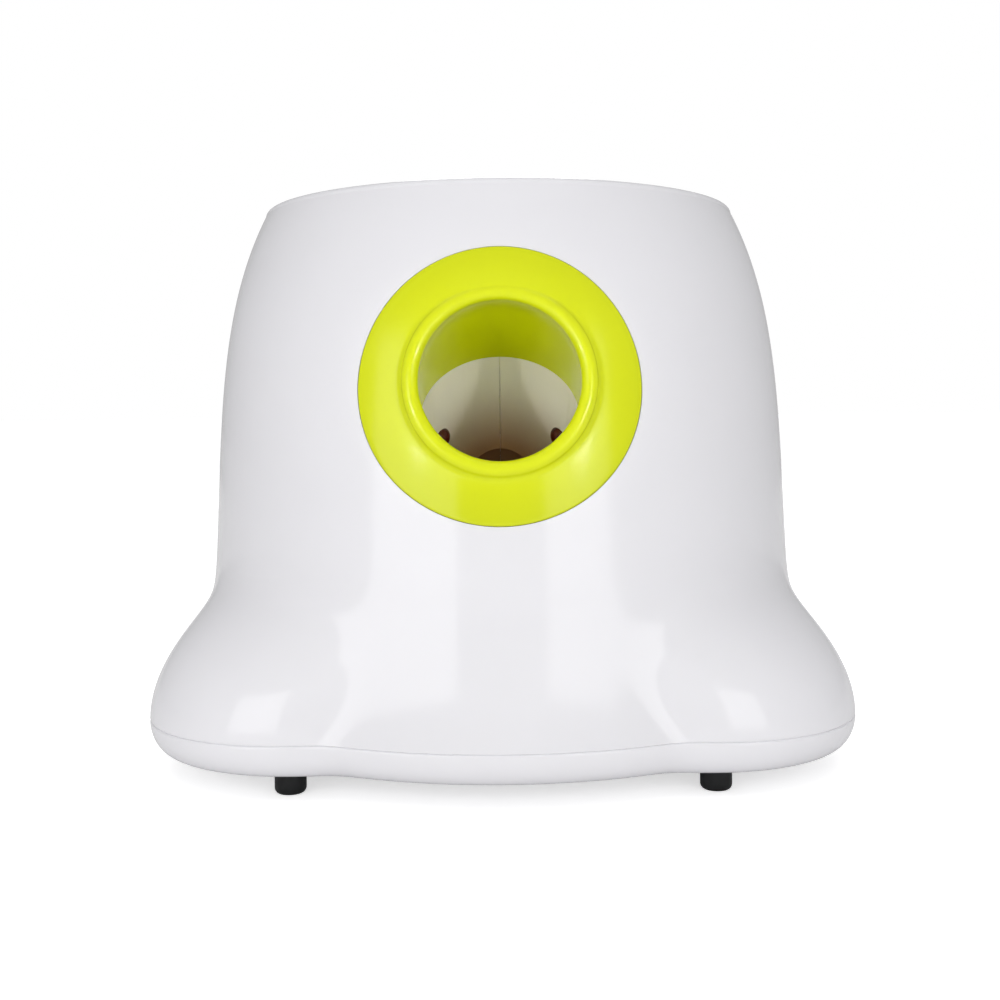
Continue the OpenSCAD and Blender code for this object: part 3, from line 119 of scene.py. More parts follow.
class PathSizes(bpy.types.PropertyGroup):
    """Sizes of the launch path: bowl, tube, barrel and ring."""

    bowl_slope: degrees("Bowl slope", "Slope of the bowl's funnel", 37)
    bowl_wall: length("Bowl wall", "Wall of the bowl", 2.2)
    drop_r: length("Bowl hole radius", "Radius of the hole in the bowl", 27.8)
    chute_r: length("Chute radius", "Inner radius of the drop chute", 30)
    chute_y: length("Chute place", "Distance of the drop chute behind the middle", 3.4)
    tube_r: length("Tube radius", "Inner radius of the launch tube", 31)
    tube_wall: length("Tube wall", "Wall of the launch tube", 2.4)
    tube_angle: degrees("Tube elevation", "Elevation of the launch tube", 45)
    tube_axis_z: length("Tube axis height", "Height of the tube's axis over the middle", 53.8)
    tube_end: length("Tube end", "Distance of the tube's open end along its axis", 123)
    mouth_z: length("Mouth height", "Height of the launch mouth", 152)
    ring_r: length("Ring radius", "Upright outer radius of the coloured ring", 51.2)
    ring_wide: number("Ring width", "Width of the coloured ring against its height", 1.023)
    ring_drop: length("Ring drop", "How far the ring's outline lies below the mouth's centre", 1.6)
    ring_tilt: degrees("Ring lean", "Lean of the ring's face", 8.5)
    ring_proud: length("Ring proud", "How far the ring stands out of the shell", 0.7)
    mouth_r: length("Mouth radius", "Radius of the mouth at its lip", 29.6)
    lip_r: length("Lip radius", "Radius of the lip's rolled edge", 3)
    lip_fillet: length("Lip fillet", "Fillet at the foot of the lip", 3.0)
    barrel_r: length("Barrel radius", "Inner radius of the barrel behind the mouth", 30.5)
    barrel_drop: degrees("Barrel drop", "Drop of the barrel behind the mouth", 22)
    sensor_angle: degrees("Sensor angle", "Angle of each window from the top of the tube", 53)
    sensor_s: length("Sensor place", "Distance of the windows along the tube", 88)
    sensor_r: length("Sensor radius", "Radius of a sensor window", 4.2)


class Finishes(bpy.types.PropertyGroup):
    """Colours of the finishes."""

    white: colour("White", "Gloss white of the shell, pan and bowl", "#f3f2f6")
    lime: colour("Lime", "Yellow-green of the ring and barrel", "#d8e108")
    ivory: colour("Ivory", "Off-white of the launch tube", "#ece8dd")
    infrared: colour("Infrared", "Dark red of the sensor windows", "#430f06")
    rubber: colour("Rubber", "Black of the feet", "#0b0d0e")
    red: colour("Red", "Red of the power button", "#c8342b")


# ---------- shape of the body ----------


def trunk_radius(b, z):
    """Radius of the round trunk at a height, flaring below the waist."""
    z = np.asarray(z, float)
    u = (z - b.waist_z) / (b.rim_z - b.waist_z)
    v = (b.waist_z - z) / (b.waist_z - b.seam_z)
    slope = b.taper / (b.rim_z - b.waist_z)
    flare = b.seam_r - b.waist_r - slope * (b.waist_z - b.seam_z)
    upper = b.waist_r - b.taper * u - b.shoulder_drop * np.clip(u, 0, None) ** b.shoulder_power
    lower = b.waist_r + slope * (b.waist_z - z) + flare * v**2
    return np.where(z >= b.waist_z, upper, lower)


def body_radius(b, a, z):
    """Radius of the body at an angle from the front, at a height."""
    h = np.maximum(z, b.seam_z)
    s = (h - b.seam_z) / (b.waist_z - b.seam_z)
    c = np.maximum(b.lobe_c - b.lobe_draw * s * s, 0)
    k = b.lobe_blend + (b.lobe_blend_top - b.lobe_blend) * np.minimum(s, 1)
    q = np.mod(a, math.pi)
    phi = np.where(q > math.pi / 2, math.pi - q, q) - b.lobe_angle
    inside = b.lobe_r**2 - (c * np.sin(phi)) ** 2
    reach = np.where(inside > 0, c * np.cos(phi) + np.sqrt(np.maximum(inside, 0)), 0)
    trunk = trunk_radius(b, h)
    soft = np.maximum(trunk, reach) + k * np.log1p(np.exp(-np.abs(trunk - reach) / k))
    return np.where(c <= 0, trunk, soft)


def body_rows(b, profile):
    """Rows of points round the body; a profile point is inset, height and height that gives the outline."""
    a = np.linspace(0, 2 * math.pi, b.around, endpoint=False)
    rows = []
    for inset, z, outline in profile:
        r = body_radius(b, a, np.full_like(a, outline)) - inset
        rows.append(np.stack([r * np.sin(a), -r * np.cos(a), np.full_like(a, z)], 1))
    return np.array(rows)


def grid_faces(rows, columns, close_rows=False):
    """Quads of a grid whose columns close round; its rows may close too."""
    faces = []
    for j in range(rows if close_rows else rows - 1):
        k = (j + 1) % rows
        for i in range(columns):
            n = (i + 1) % columns
            faces.append((j * columns + i, j * columns + n, k * columns + n, k * columns + i))
    return faces


def mesh_of(name, points, faces):
    """A mesh from points and faces."""
    mesh = bpy.data.meshes.new(name)
    mesh.from_pydata([tuple(p) for p in np.asarray(points, float).reshape(-1, 3)], [], faces)
    mesh.validate()
    return mesh


def turned_out(mesh):
    """Turns the faces of a closed mesh outwards."""
    bm = bmesh.new()
    bm.from_mesh(mesh)
    bmesh.ops.recalc_face_normals(bm, faces=bm.faces)
    bm.to_mesh(mesh)
    bm.free()
    return mesh


def loop_solid(name, rows, close_rows=True, caps=False):
    """A closed solid from rows of points round a loop."""
    rows = np.asarray(rows)
    n, columns = rows.shape[:2]
    faces = grid_faces(n, columns, close_rows)
    if caps:
        faces.append(tuple(range(columns)))
        faces.append(tuple((n - 1) * columns + i for i in range(columns)))
    return turned_out(mesh_of(name, rows, faces))


def revolved(name, profile, count=96, place=Matrix.Identity(4)):
    """A closed profile of radius and height turned about its own axis, then placed. Radius 0 makes a pole."""
    bm = bmesh.new()
    angles = [2 * math.pi * i / count for i in range(count)]
    rings = []
    for r, h in profile:
        if r < 1e-9:
            rings.append([bm.verts.new((0, 0, h))])
        else:
            rings.append([bm.verts.new((r * math.cos(a), r * math.sin(a), h)) for a in angles])
    for j, low in enumerate(rings):
        high = rings[(j + 1) % len(rings)]
        if len(low) == 1 and len(high) == 1:
            continue
        for i in range(count):
            n = (i + 1) % count
            ring = [low[i % len(low)], low[n % len(low)], high[n % len(high)], high[i % len(high)]]
            bm.faces.new(dict.fromkeys(ring))
    bmesh.ops.recalc_face_normals(bm, faces=bm.faces)
    mesh = bpy.data.meshes.new(name)
    bm.to_mesh(mesh)
    bm.free()
    mesh.transform(place)
    return mesh


def rod(name, place, r, low, high, count=64):
    """A cylinder from one height to another in its frame."""
    return revolved(name, [(0, low), (r, low), (r, high), (0, high)], count, place)


def block(name, low, high, place=Matrix.Identity(4)):
    """A box between two corners in its frame."""
    low, high = Vector(low), Vector(high)
    bm = bmesh.new()
    bmesh.ops.create_cube(bm, size=1)
    for v in bm.verts:
        v.co = Vector([low[k] + (v.co[k] + 0.5) * (high[k] - low[k]) for k in range(3)])
    mesh = bpy.data.meshes.new(name)
    bm.to_mesh(mesh)
    bm.free()
    mesh.transform(place)
    return mesh


def prism(name, outline, low, high, place=Matrix.Identity(4)):
    """An outline of (x, y) points carried from one height to another."""
    n = len(outline)
    points = [(x, y, z) for z in (low, high) for x, y in outline]
    faces = [tuple(range(n)), tuple(range(n, 2 * n))]
    faces += [(i, (i + 1) % n, n + (i + 1) % n, n + i) for i in range(n)]
    mesh = turned_out(mesh_of(name, points, faces))
    mesh.transform(place)
    return mesh


def evaluated(made):
    """A new mesh of an object after its modifiers."""
    bpy.context.view_layer.update()
    return bpy.data.meshes.new_from_object(made.evaluated_get(bpy.context.evaluated_depsgraph_get()))


def joined(mesh, operation, tools):
    """A solid after its boolean tools; the tools' meshes are used up."""
    base = bpy.data.objects.new("work", mesh)
    bpy.context.scene.collection.objects.link(base)
    for tool in tools:
        cutter = bpy.data.objects.new("tool", tool)
        bpy.context.scene.collection.objects.link(cutter)
        step = base.modifiers.new("step", "BOOLEAN")
        step.operation = operation
        step.solver = "MANIFOLD"
        step.object = cutter
        result = evaluated(base)
        base.modifiers.clear()
        old = base.data
        base.data = result
        bpy.data.meshes.remove(old)
        bpy.data.objects.remove(cutter)
        bpy.data.meshes.remove(tool)
    out = base.data
    bpy.data.objects.remove(base)
    if not len(out.polygons):
        raise RuntimeError(mesh.name + " came out empty")
    return out


def cut(mesh, *tools):
    """A solid less its tools."""
    return joined(mesh, "DIFFERENCE", tools)


def fused(mesh, *tools):
    """A solid joined with its tools."""
    return joined(mesh, "UNION", tools)


class Surface:
    """The smooth normals of a skin before it is cut, kept for the cut skin."""

    def __init__(self, mesh):
        self.points = [v.co.copy() for v in mesh.vertices]
        self.normals = [v.normal.copy() for v in mesh.vertices]
        self.faces = [tuple(p.vertices) for p in mesh.polygons]
        self.tree = BVHTree.FromPolygons(self.points, self.faces)

    def at(self, point, reach):
        """The normal at a point, or None where the skin is out of reach."""
        _, _, index, distance = self.tree.find_nearest(point, reach)
        if index is None:
            return None
        total = Vector((0, 0, 0))
        for v in self.faces[index]:
            total += self.normals[v] / max((self.points[v] - point).length, 1e-7) ** 2
        return total.normalized()


def shade(mesh, angle=35, surface=None):
    """Smooth shading with sharp edges, and the uncut skin's normals where the cut one still follows it."""
    follows, alike = 0.03 * MM, 0.9
    mesh.shade_smooth()
    mesh.set_sharp_from_angle(angle=math.radians(angle))
    if surface is None:
        return mesh
    known = {}
    normals = [(0, 0, 0)] * len(mesh.loops)
    for face in mesh.polygons:
        for k in face.loop_indices:
            v = mesh.loops[k].vertex_index
            if v not in known:
                known[v] = surface.at(mesh.vertices[v].co, follows)
            if known[v] is not None and known[v].dot(face.normal) > alike:
                normals[k] = tuple(known[v])
    mesh.normals_split_custom_set(normals)
    return mesh


# ---------- places in the launch path ----------


def tube_place(p, along=0.0):
    """The tube's frame: z runs along the tube, y to its upper side."""
    a = p.tube_angle
    start = Vector((0, -along * math.cos(a), p.tube_axis_z + along * math.sin(a)))
    return Matrix.Translation(start) @ Matrix.Rotation(math.pi / 2 - a, 4, "X")


def mouth_place(b, p, lean):
    """The mouth's frame, a little under the trunk's face: z points out of the mouth."""
    sunk = 1.8 * MM
    y = -(float(trunk_radius(b, p.mouth_z)) - sunk)
    return Matrix.Translation((0, y, p.mouth_z)) @ Matrix.Rotation(math.pi / 2 - lean, 4, "X")


def sensor_place(p, side, out):
    """On the tube's wall beside a sensor: z points away from the tube's axis."""
    place = tube_place(p, p.sensor_s) @ Matrix.Rotation(-side * p.sensor_angle, 4, "Z")
    return place @ Matrix.Translation((0, out, 0)) @ Matrix.Rotation(-math.pi / 2, 4, "X")


# ---------- materials ----------


def add(tree, kind, inputs=None, **settings):
    """Adds a node with its inputs, each a value or the socket that feeds it, and its settings."""
    node = tree.nodes.new(kind)
    for key, value in settings.items():
        setattr(node, key, value)
    for key, value in (inputs or {}).items():
        if isinstance(value, bpy.types.NodeSocket):
            tree.links.new(value, node.inputs[key])
        else:
            node.inputs[key].default_value = value
    return node


def start(name, constants):
    """A new material with its Principled shader, whose constant sockets are set here."""
    material = bpy.data.materials.new(name)
    material.use_nodes = True
    tree = material.node_tree
    shader = tree.nodes["Principled BSDF"]
    for key, value in constants.items():
        shader.inputs[key].default_value = value
    coords = add(tree, "ShaderNodeTexCoord")
    return material, tree, shader, coords.outputs["Object"]


def maths(tree, operation, *terms):
    """The output of a maths node; each term is a number or a socket."""
    return add(tree, "ShaderNodeMath", dict(enumerate(terms)), operation=operation).outputs[0]


def finish_of(tree, shader, coords, colour, spread, rough, patch, grain, height):
    """Colour and roughness that vary in soft patches, and a fine bump, each at its real size."""
    cloud = add(tree, "ShaderNodeTexNoise",
                {"Scale": 1 / patch, "Detail": 3.0, "Roughness": 0.5, "Vector": coords})

    def between(low, high):
        """The patches, whose noise lies between 0.3 and 0.7, spread over a range."""
        span = {"From Min": 0.3, "From Max": 0.7, "To Min": low, "To Max": high}
        return add(tree, "ShaderNodeMapRange", {"Value": cloud.outputs["Fac"], **span}).outputs[0]

    shaded = add(tree, "ShaderNodeVectorMath",
                 {0: tuple(colour), "Scale": between(1 - spread, 1.0)}, operation="SCALE")
    tree.links.new(shaded.outputs["Vector"], shader.inputs["Base Color"])
    tree.links.new(between(*rough), shader.inputs["Roughness"])
    fine = add(tree, "ShaderNodeTexNoise", {"Scale": 1 / grain, "Detail": 2.0, "Vector": coords})
    bump = add(tree, "ShaderNodeBump", {"Strength": 1.0, "Distance": height, "Height": fine.outputs["Fac"]})
    tree.links.new(bump.outputs["Normal"], shader.inputs["Normal"])


def moulded(name, colour, rough, grain, height, spread, ior):
    """Injection-moulded plastic: soft patches 45 mm wide, over the grain that the tool leaves."""
    material, tree, shader, coords = start(name, {"IOR": ior, "Metallic": 0.0})
    finish_of(tree, shader, coords, colour, spread, rough, 45 * MM, grain * MM, height * MM)
    return material


def metal(name, code, rough, grain, height):
    """Bare or plated metal, with marks that are long across the grain where it was drawn or turned."""
    material, tree, shader, coords = start(name, {"Metallic": 1.0})
    stretch = add(tree, "ShaderNodeMapping",
                  {"Scale": tuple(1 / (g * MM) for g in grain), "Vector": coords}, vector_type="POINT")
    # patches 8 marks wide, in the stretched space where a mark measures 1
    finish_of(tree, shader, stretch.outputs["Vector"], linear(code), 0.08, rough, 8.0, 1.0, height * MM)
    return material


def painted_shade(material, near, deep, shade_tint):
    """Painted shade: the colour is multiplied by the shade tint's, from one place along Y to another, so the
    part turns darker and browner towards its deep end.
    """
    tree = material.node_tree
    base = tree.nodes["Principled BSDF"].inputs["Base Color"]
    unshaded = base.links[0].from_socket
    coords = add(tree, "ShaderNodeTexCoord")
    axes = add(tree, "ShaderNodeSeparateXYZ", {"Vector": coords.outputs["Object"]})
    depth = add(tree, "ShaderNodeMapRange",
                {"From Min": near, "From Max": deep, "Value": axes.outputs["Y"]},
                interpolation_type="SMOOTHSTEP")
    # the colour sockets of this node, which shares its sockets' names between kinds
    factor, first, second, result = 0, 6, 7, 2
    # the painted shade, multiplied into the colour
    darkened = add(tree, "ShaderNodeMix",
                  {second: (*shade_tint, 1), factor: depth.outputs[0], first: unshaded},
                  data_type="RGBA", blend_type="MULTIPLY")
    tree.links.new(darkened.outputs[result], base)


def make_finishes(f):
    """Every finish of the launcher, named for the real material."""
    resin = 1.54
    # real material, colour, roughness from and to, width and depth of the grain in mm, unevenness, refraction
    plastics = {
        # polished-tool ABS: near-white, mirror-like gloss over a faint orange peel
        "shell": ("Gloss white ABS", f.white, (0.1, 0.16), 2.4, 0.004, 0.015, resin),
        "panel": ("Satin white ABS", linear("#e6e8ea"), (0.3, 0.38), 0.7, 0.01, 0.015, resin),
        # the same resin with a yellow-green pigment, glossy
        "lime": ("Gloss lime ABS", f.lime, (0.12, 0.18), 2.4, 0.004, 0.03, resin),
        # natural ivory ABS from a plainer tool: satin, slightly uneven
        "tube": ("Satin ivory ABS", f.ivory, (0.32, 0.42), 1.2, 0.01, 0.04, resin),
        # dyed acrylic that passes infrared: nearly black with a deep red glow and a hard shine
        "infrared": ("Infrared acrylic", f.infrared, (0.05, 0.08), 2.4, 0.0, 0.015, 1.49),
        # soft black rubber: half matt, finely pitted by the mould
        "rubber": ("Nitrile rubber", f.rubber, (0.45, 0.6), 0.5, 0.02, 0.2, 1.45),
        "red": ("Gloss red ABS", f.red, (0.14, 0.2), 2.4, 0.004, 0.03, resin),
        # glass-filled nylon: grey, dull, with a dry grain
        "plate": ("Glass-filled nylon", linear("#c4c7cb"), (0.45, 0.6), 0.5, 0.02, 0.06, resin),
        "nylon": ("Natural nylon", linear("#e6e2d4"), (0.3, 0.42), 0.8, 0.01, 0.05, resin),
        "black": ("Black glass-filled nylon", linear("#26282b"), (0.45, 0.6), 0.5, 0.02, 0.15, resin),
        # fibreglass board under green solder mask: glossy, with a trace of weave
        "board": ("Solder-masked fibreglass", linear("#1f5e3a"), (0.22, 0.32), 0.4, 0.01, 0.12, resin),
        "jacket": ("Shrink-film jacket", linear("#46586c"), (0.2, 0.3), 1.0, 0.01, 0.05, resin),
        "lens": ("Clear polycarbonate", linear("#dfe8e2"), (0.06, 0.1), 2.4, 0.0, 0.015, 1.585),
        "wire_red": ("Red PVC sleeve", linear("#b02020"), (0.3, 0.4), 2.4, 0.004, 0.08, resin),
        "wire_black": ("Black PVC sleeve", linear("#202022"), (0.3, 0.4), 2.4, 0.004, 0.15, resin),
        "wire_grey": ("Grey PVC sleeve", linear("#5a5b5e"), (0.3, 0.4), 2.4, 0.004, 0.1, resin),
    }
    # real material, colour, roughness from and to, size of its marks along each axis and their depth in mm
    metals = {
        # ground steel: bright, with fine marks round the shaft
        "steel": ("Ground steel", "#c3c6ca", (0.18, 0.28), (2, 0.2, 0.2), 0.006),
        "spring": ("Drawn spring steel", "#8d9095", (0.25, 0.38), (0.6, 0.6, 0.6), 0.006),
        "zinc": ("Zinc-plated steel", "#b4b8bb", (0.22, 0.36), (0.8, 0.8, 0.8), 0.006),
        "nickel": ("Nickel-plated strip", "#c6c4bd", (0.2, 0.3), (0.8, 0.8, 0.8), 0.006),
        "brass": ("Machined brass", "#b98f4c", (0.2, 0.32), (0.5, 0.5, 0.5), 0.006),
        "bronze": ("Sintered bronze", "#a07a47", (0.45, 0.6), (0.25, 0.25, 0.25), 0.02),
    }
    made = {key: moulded(*row) for key, row in plastics.items()}
    # the pigment takes some of the shine
    made["lime"].node_tree.nodes["Principled BSDF"].inputs["Specular IOR Level"].default_value = 0.4
    # painted shade: the tube turns darker and browner towards its deep end, where little light reaches
    painted_shade(made["tube"], -60 * MM, -20 * MM, (0.42, 0.22, 0.1))
    made.update({key: metal(*row) for key, row in metals.items()})
    return made


FINISH = {}


def piece(name, mesh, finish, slot, body="housing", nodes=()):
    """A piece in place: its finish, the CAD nodes that it stands for, and the body that it rides on."""
    mesh.name = name
    mesh.materials.clear()
    mesh.materials.append(FINISH[finish])
    made = bpy.data.objects.new(name, mesh)
    bpy.context.scene.collection.objects.link(made)
    if nodes:
        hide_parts(*nodes)
    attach(made, body)
    return made


def smooth_copy(node, angle=35):
    """A CAD node's own shape, merged so that its curved faces shade smoothly."""
    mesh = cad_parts[node].data.copy()
    bm = bmesh.new()
    bm.from_mesh(mesh)
    bmesh.ops.remove_doubles(bm, verts=bm.verts, dist=MERGE)
    bmesh.ops.dissolve_degenerate(bm, edges=bm.edges, dist=MERGE / 2)
    bm.to_mesh(mesh)
    bm.free()
    return shade(mesh, angle)


# ---------- shell and pan ----------

# places and sizes under the pan, in millimetres: each block by its lower and upper corner on the right side
BAY_WALLS = ((48, -42.3, 11), (107.5, 42.3, 41.1))
BAY_ROOM = ((50, -40.3, 7.6), (105.5, 40.3, 39.1))
HINGE_BLOCK = ((41, -45.3, 11), (48.5, 45.3, 15))
DOOR_ROOM = ((44.9, -41.3, 7.6), (106.5, 41.3, 11.2))
# the door hinge's axis (x, z), the radius of its channel and of its pin's bore, and half of the bore's length
HINGE_AT, CHANNEL_R, HINGE_BORE_R, HINGE_HALF = (44.9, 10.6), 2.4, 1.15, 44.5
# the rubber feet: place (x, y), radius, height, and play in their sockets
FOOT_AT, FOOT_R, FOOT_H, FOOT_PLAY = (79, 108), 6, 9.97, 0.03
# screws into the rounded feet and into the legs and bearing plates: place (x, y) and height of their seats
POST_AT, POST_SEAT, LEG_SEAT = (98.05, 82.28), 12.6, 9.6
SEAT_SCREWS = [(s * x, y) for s in (1, -1) for x, y in ((27.5, -66), (27.5, -50), (32.5, 55), (32.5, 89))]
# radius of a screw's well and of a post, heights under the pan, over its floor and at a foot socket's end
WELL_R, POST_R, BELOW_PAN, PAN_TOP, SOCKET_TOP = 3.2, 4.5, 7, 11, 10


class LAUNCHER_OT_finishes(bpy.types.Operator):
    """Makes every finish"""

    bl_idname = "launcher.finishes"
    bl_label = "Finishes"

    def execute(self, context):
        FINISH.clear()
        FINISH.update(make_finishes(context.scene.launcher_finishes))
        return {"FINISHED"}


def groove_points(b, way):
    """Half of the groove at the parting line, from its bottom out; way is 1 on the shell, -1 on the pan."""
    g, z = b.groove, b.seam_z
    return [(g, z, z), (g * 0.35, z + way * g * 0.6, z), (0, z + way * 1.6 * g, z)]


class LAUNCHER_OT_shell(bpy.types.Operator):
    """Moulded shell: body skin, rolled rim, bowl pocket and its openings"""

    bl_idname = "launcher.shell"
    bl_label = "Shell"

    def execute(self, context):
        b, p = context.scene.launcher_body, context.scene.launcher_path
        lip_z = b.rim_z - b.rim_roll
        foot_top = b.waist_z + 6 * MM
        ledge_z = b.rim_z - b.ledge_depth
        pocket_r = float(trunk_radius(b, lip_z)) - 2 * b.rim_roll
        inner = float(trunk_radius(b, ledge_z)) - pocket_r
        chamfer = 0.3 * MM
        quarter = np.linspace(0, math.pi / 2, 62)[1:]
        outer = groove_points(b, 1)[:2]
        outer += [(0, z, z) for z in np.linspace(groove_points(b, 1)[2][1], foot_top, 72)]
        outer += [(0, z, z) for z in foot_top + (lip_z - foot_top) * np.sin(quarter)]
        roll = [(b.rim_roll * (1 - math.cos(t)), lip_z + b.rim_roll * math.sin(t), lip_z)
                for t in np.linspace(0, math.pi, 17)[1:]]
        pocket = [(inner, ledge_z + chamfer, ledge_z), (inner + chamfer, ledge_z, ledge_z),
                  (inner + b.ledge_w, ledge_z, ledge_z), (inner + b.ledge_w, ledge_z - b.pan_wall, ledge_z)]
        down = [(b.shell_wall, z, z) for z in np.linspace(ledge_z - 2 * b.ledge_w, b.seam_z, 34)]
        mesh = loop_solid("shell", body_rows(b, outer + roll + pocket + down))
        surface = Surface(mesh)
        # the control panel and the power inlet in the back wall
        panel_z, panel_half, panel_r = 140 * MM, 24 * MM, 17.3 * MM
        jack_x, jack_z, jack_r = 46 * MM, 40 * MM, 4.7 * MM
        ring_gap, reach = 0.2 * MM, 30 * MM
        back = Matrix.Translation((0, 0, panel_z)) @ Matrix.Rotation(math.pi / 2, 4, "X")
        jack = Matrix.Translation((jack_x, 0, jack_z)) @ Matrix.Rotation(-math.pi / 2, 4, "X")
        mesh = cut(
            mesh,
            prism("ring hole", ring_outline(p, ring_gap), -reach, reach, mouth_place(b, p, p.ring_tilt)),
            prism("panel hole", stadium(panel_half, panel_r), -136 * MM, -96 * MM, back),
            rod("jack hole", jack, jack_r, 100 * MM, 141 * MM),
        )
        piece("shell", shade(mesh, 30, surface), "shell", "shell_white", nodes=("upper_shell",))
        return {"FINISHED"}


def stadium(half, r, steps=24):
    """Outline of a bar with round ends."""
    right = [(half + r * math.cos(t), r * math.sin(t)) for t in np.linspace(-math.pi / 2, math.pi / 2, steps)]
    return right + [(-x, -y) for x, y in right]


class LAUNCHER_OT_pan(bpy.types.Operator):
    """Pan under the shell, with its battery bays, screw wells and foot sockets"""

    bl_idname = "launcher.pan"
    bl_label = "Pan"

    def execute(self, context):
        b = context.scene.launcher_body
        z, h = b.seam_z, b.seam_z - b.pan_z
        # the tongue that centres the shell: its faces from the outline, its top and its foot
        tongue, tongue_back, tongue_top, tongue_foot = 3.1 * MM, 4.7 * MM, z + 3 * MM, z - 1 * MM

        def curve(wall, t):
            """A point of the pan's rounded edge, moved in by a wall."""
            return wall + b.pan_round * (1 - math.sin(t)), z - (h - wall) * math.cos(t), z

        profile = [curve(0, t) for t in np.linspace(0, math.radians(84), 26)] + groove_points(b, -1)[::-1]
        profile += [(tongue, z, z), (tongue, tongue_top, z)]
        profile += [(tongue_back, tongue_top, z), (tongue_back, tongue_foot, z)]
        profile += [curve(b.pan_wall, t) for t in np.linspace(math.radians(50), 0, 5)]
        mesh = loop_solid("pan", body_rows(b, profile), close_rows=False, caps=True)
        surface = Surface(mesh)
        arch = [(CHANNEL_R * math.cos(t), CHANNEL_R * math.sin(t)) for t in np.linspace(math.pi, 0, 14)]
        channel = [(x * MM, y * MM) for x, y in [(CHANNEL_R, -3), (-CHANNEL_R, -3)] + arch]
        room = DOOR_ROOM[1][1] * MM
        holes = []
        for side in (1, -1):
            mesh = fused(mesh, block("bay", *sided(side, *BAY_WALLS)),
                         block("hinge block", *sided(side, *HINGE_BLOCK)))
            axis = Matrix.Translation((side * HINGE_AT[0] * MM, 0, HINGE_AT[1] * MM))
            along = axis @ Matrix.Rotation(math.pi / 2, 4, "X")
            holes += [block("bay room", *sided(side, *BAY_ROOM)),
                      block("door room", *sided(side, *DOOR_ROOM)),
                      prism("hinge room", channel, -room, room, along),
                      rod("hinge bore", along, HINGE_BORE_R * MM, -HINGE_HALF * MM, HINGE_HALF * MM, 24)]

        def well(x, y, seat, count=40):
            """The well of a screw that goes up through the pan."""
            place = Matrix.Translation((x * MM, y * MM, 0))
            return rod("screw well", place, WELL_R * MM, BELOW_PAN * MM, seat * MM, count)

        for x, y in CORNERS:
            post_x, post_y = x * POST_AT[0], y * POST_AT[1]
            post = Matrix.Translation((post_x * MM, post_y * MM, 0))
            mesh = fused(mesh, rod("post", post, POST_R * MM, PAN_TOP * MM, z + 1 * MM, 40))
            foot = Matrix.Translation((x * FOOT_AT[0] * MM, y * FOOT_AT[1] * MM, 0))
            socket_r = (FOOT_R + FOOT_PLAY) * MM
            holes += [rod("foot socket", foot, socket_r, BELOW_PAN * MM, SOCKET_TOP * MM, 48),
                      well(post_x, post_y, POST_SEAT)]
        holes += [well(x, y, LEG_SEAT) for x, y in SEAT_SCREWS]
        mesh = cut(mesh, *holes)
        piece("pan", shade(mesh, 30, surface), "shell", "shell_white", nodes=("base_pan",))
        return {"FINISHED"}


def sided(side, low, high):
    """The corners of a block in metres, from millimetres, mirrored to a side."""
    xs = sorted((side * low[0] * MM, side * high[0] * MM))
    return (xs[0], low[1] * MM, low[2] * MM), (xs[1], high[1] * MM, high[2] * MM)


# ---------- launch path ----------


# divisions round the mouth and the bowl
MOUTH_STEPS = 256


def on_trunk(b, place, rho, angle, offset):
    """Heights in a mouth frame at which the trunk's face, moved out by an offset, is met."""
    rho, angle, offset = np.broadcast_arrays(rho, angle, offset)
    m = np.array(place)
    search = 40 * MM
    low, high = np.full(rho.shape, -search), np.full(rho.shape, search)
    for _ in range(32):
        mid = (low + high) / 2
        q = placed(m, rho, angle, mid)
        out = np.hypot(q[..., 0], q[..., 1]) - trunk_radius(b, q[..., 2]) - offset
        low, high = np.where(out < 0, mid, low), np.where(out < 0, high, mid)
    return (low + high) / 2


def placed(place, rho, angle, height):
    """Points from polar coordinates in a frame."""
    m = np.array(place)
    rho, angle, height = np.broadcast_arrays(rho, angle, height)
    local = np.stack([rho * np.cos(angle), rho * np.sin(angle), height], -1)
    return local @ m[:3, :3].T + m[:3, 3]


def ring_reach(p, angle):
    """Radius of the ring's outline, which is a little wider than tall, about the mouth's centre."""
    return p.ring_r * (1 + (p.ring_wide - 1) * np.cos(angle) ** 2) - p.ring_drop * np.sin(angle)


def ring_outline(p, gap):
    """The ring's outline with a gap round it."""
    a = np.linspace(0, 2 * math.pi, MOUTH_STEPS, endpoint=False)
    r = ring_reach(p, a) + gap
    return [(float(x), float(y)) for x, y in zip(r * np.cos(a), r * np.sin(a))]


def lip_fillet(b, p, face, a):
    """Centre of the fillet at the lip's foot, where it meets the ring's face, and the face's slope there.

    Low tells where the face lies so far back that the fillet meets the lip's straight wall, not its roll."""
    fillet, lip = p.lip_fillet, p.lip_r
    middle, wall = p.mouth_r + lip, p.mouth_r + 2 * lip
    d = 0.2 * MM
    meet = np.full_like(a, wall + fillet)
    for _ in range(5):
        h, before, after = (on_trunk(b, face, meet + way * d, a, p.ring_proud) for way in (0, -1, 1))
        m = (after - before) / (2 * d)
        slant = np.sqrt(1 + m * m)
        c = h - m * meet + fillet * slant
        half = (middle - m * c) / slant**2
        x = half + np.sqrt(np.maximum(half**2 - (middle**2 + c * c - (lip + fillet) ** 2) / slant**2, 0))
        low = m * (wall + fillet) + c <= 0
        x = np.where(low, wall + fillet, x)
        y = m * x + c
        meet = x + fillet * m / slant
    return x, y, meet, m, low


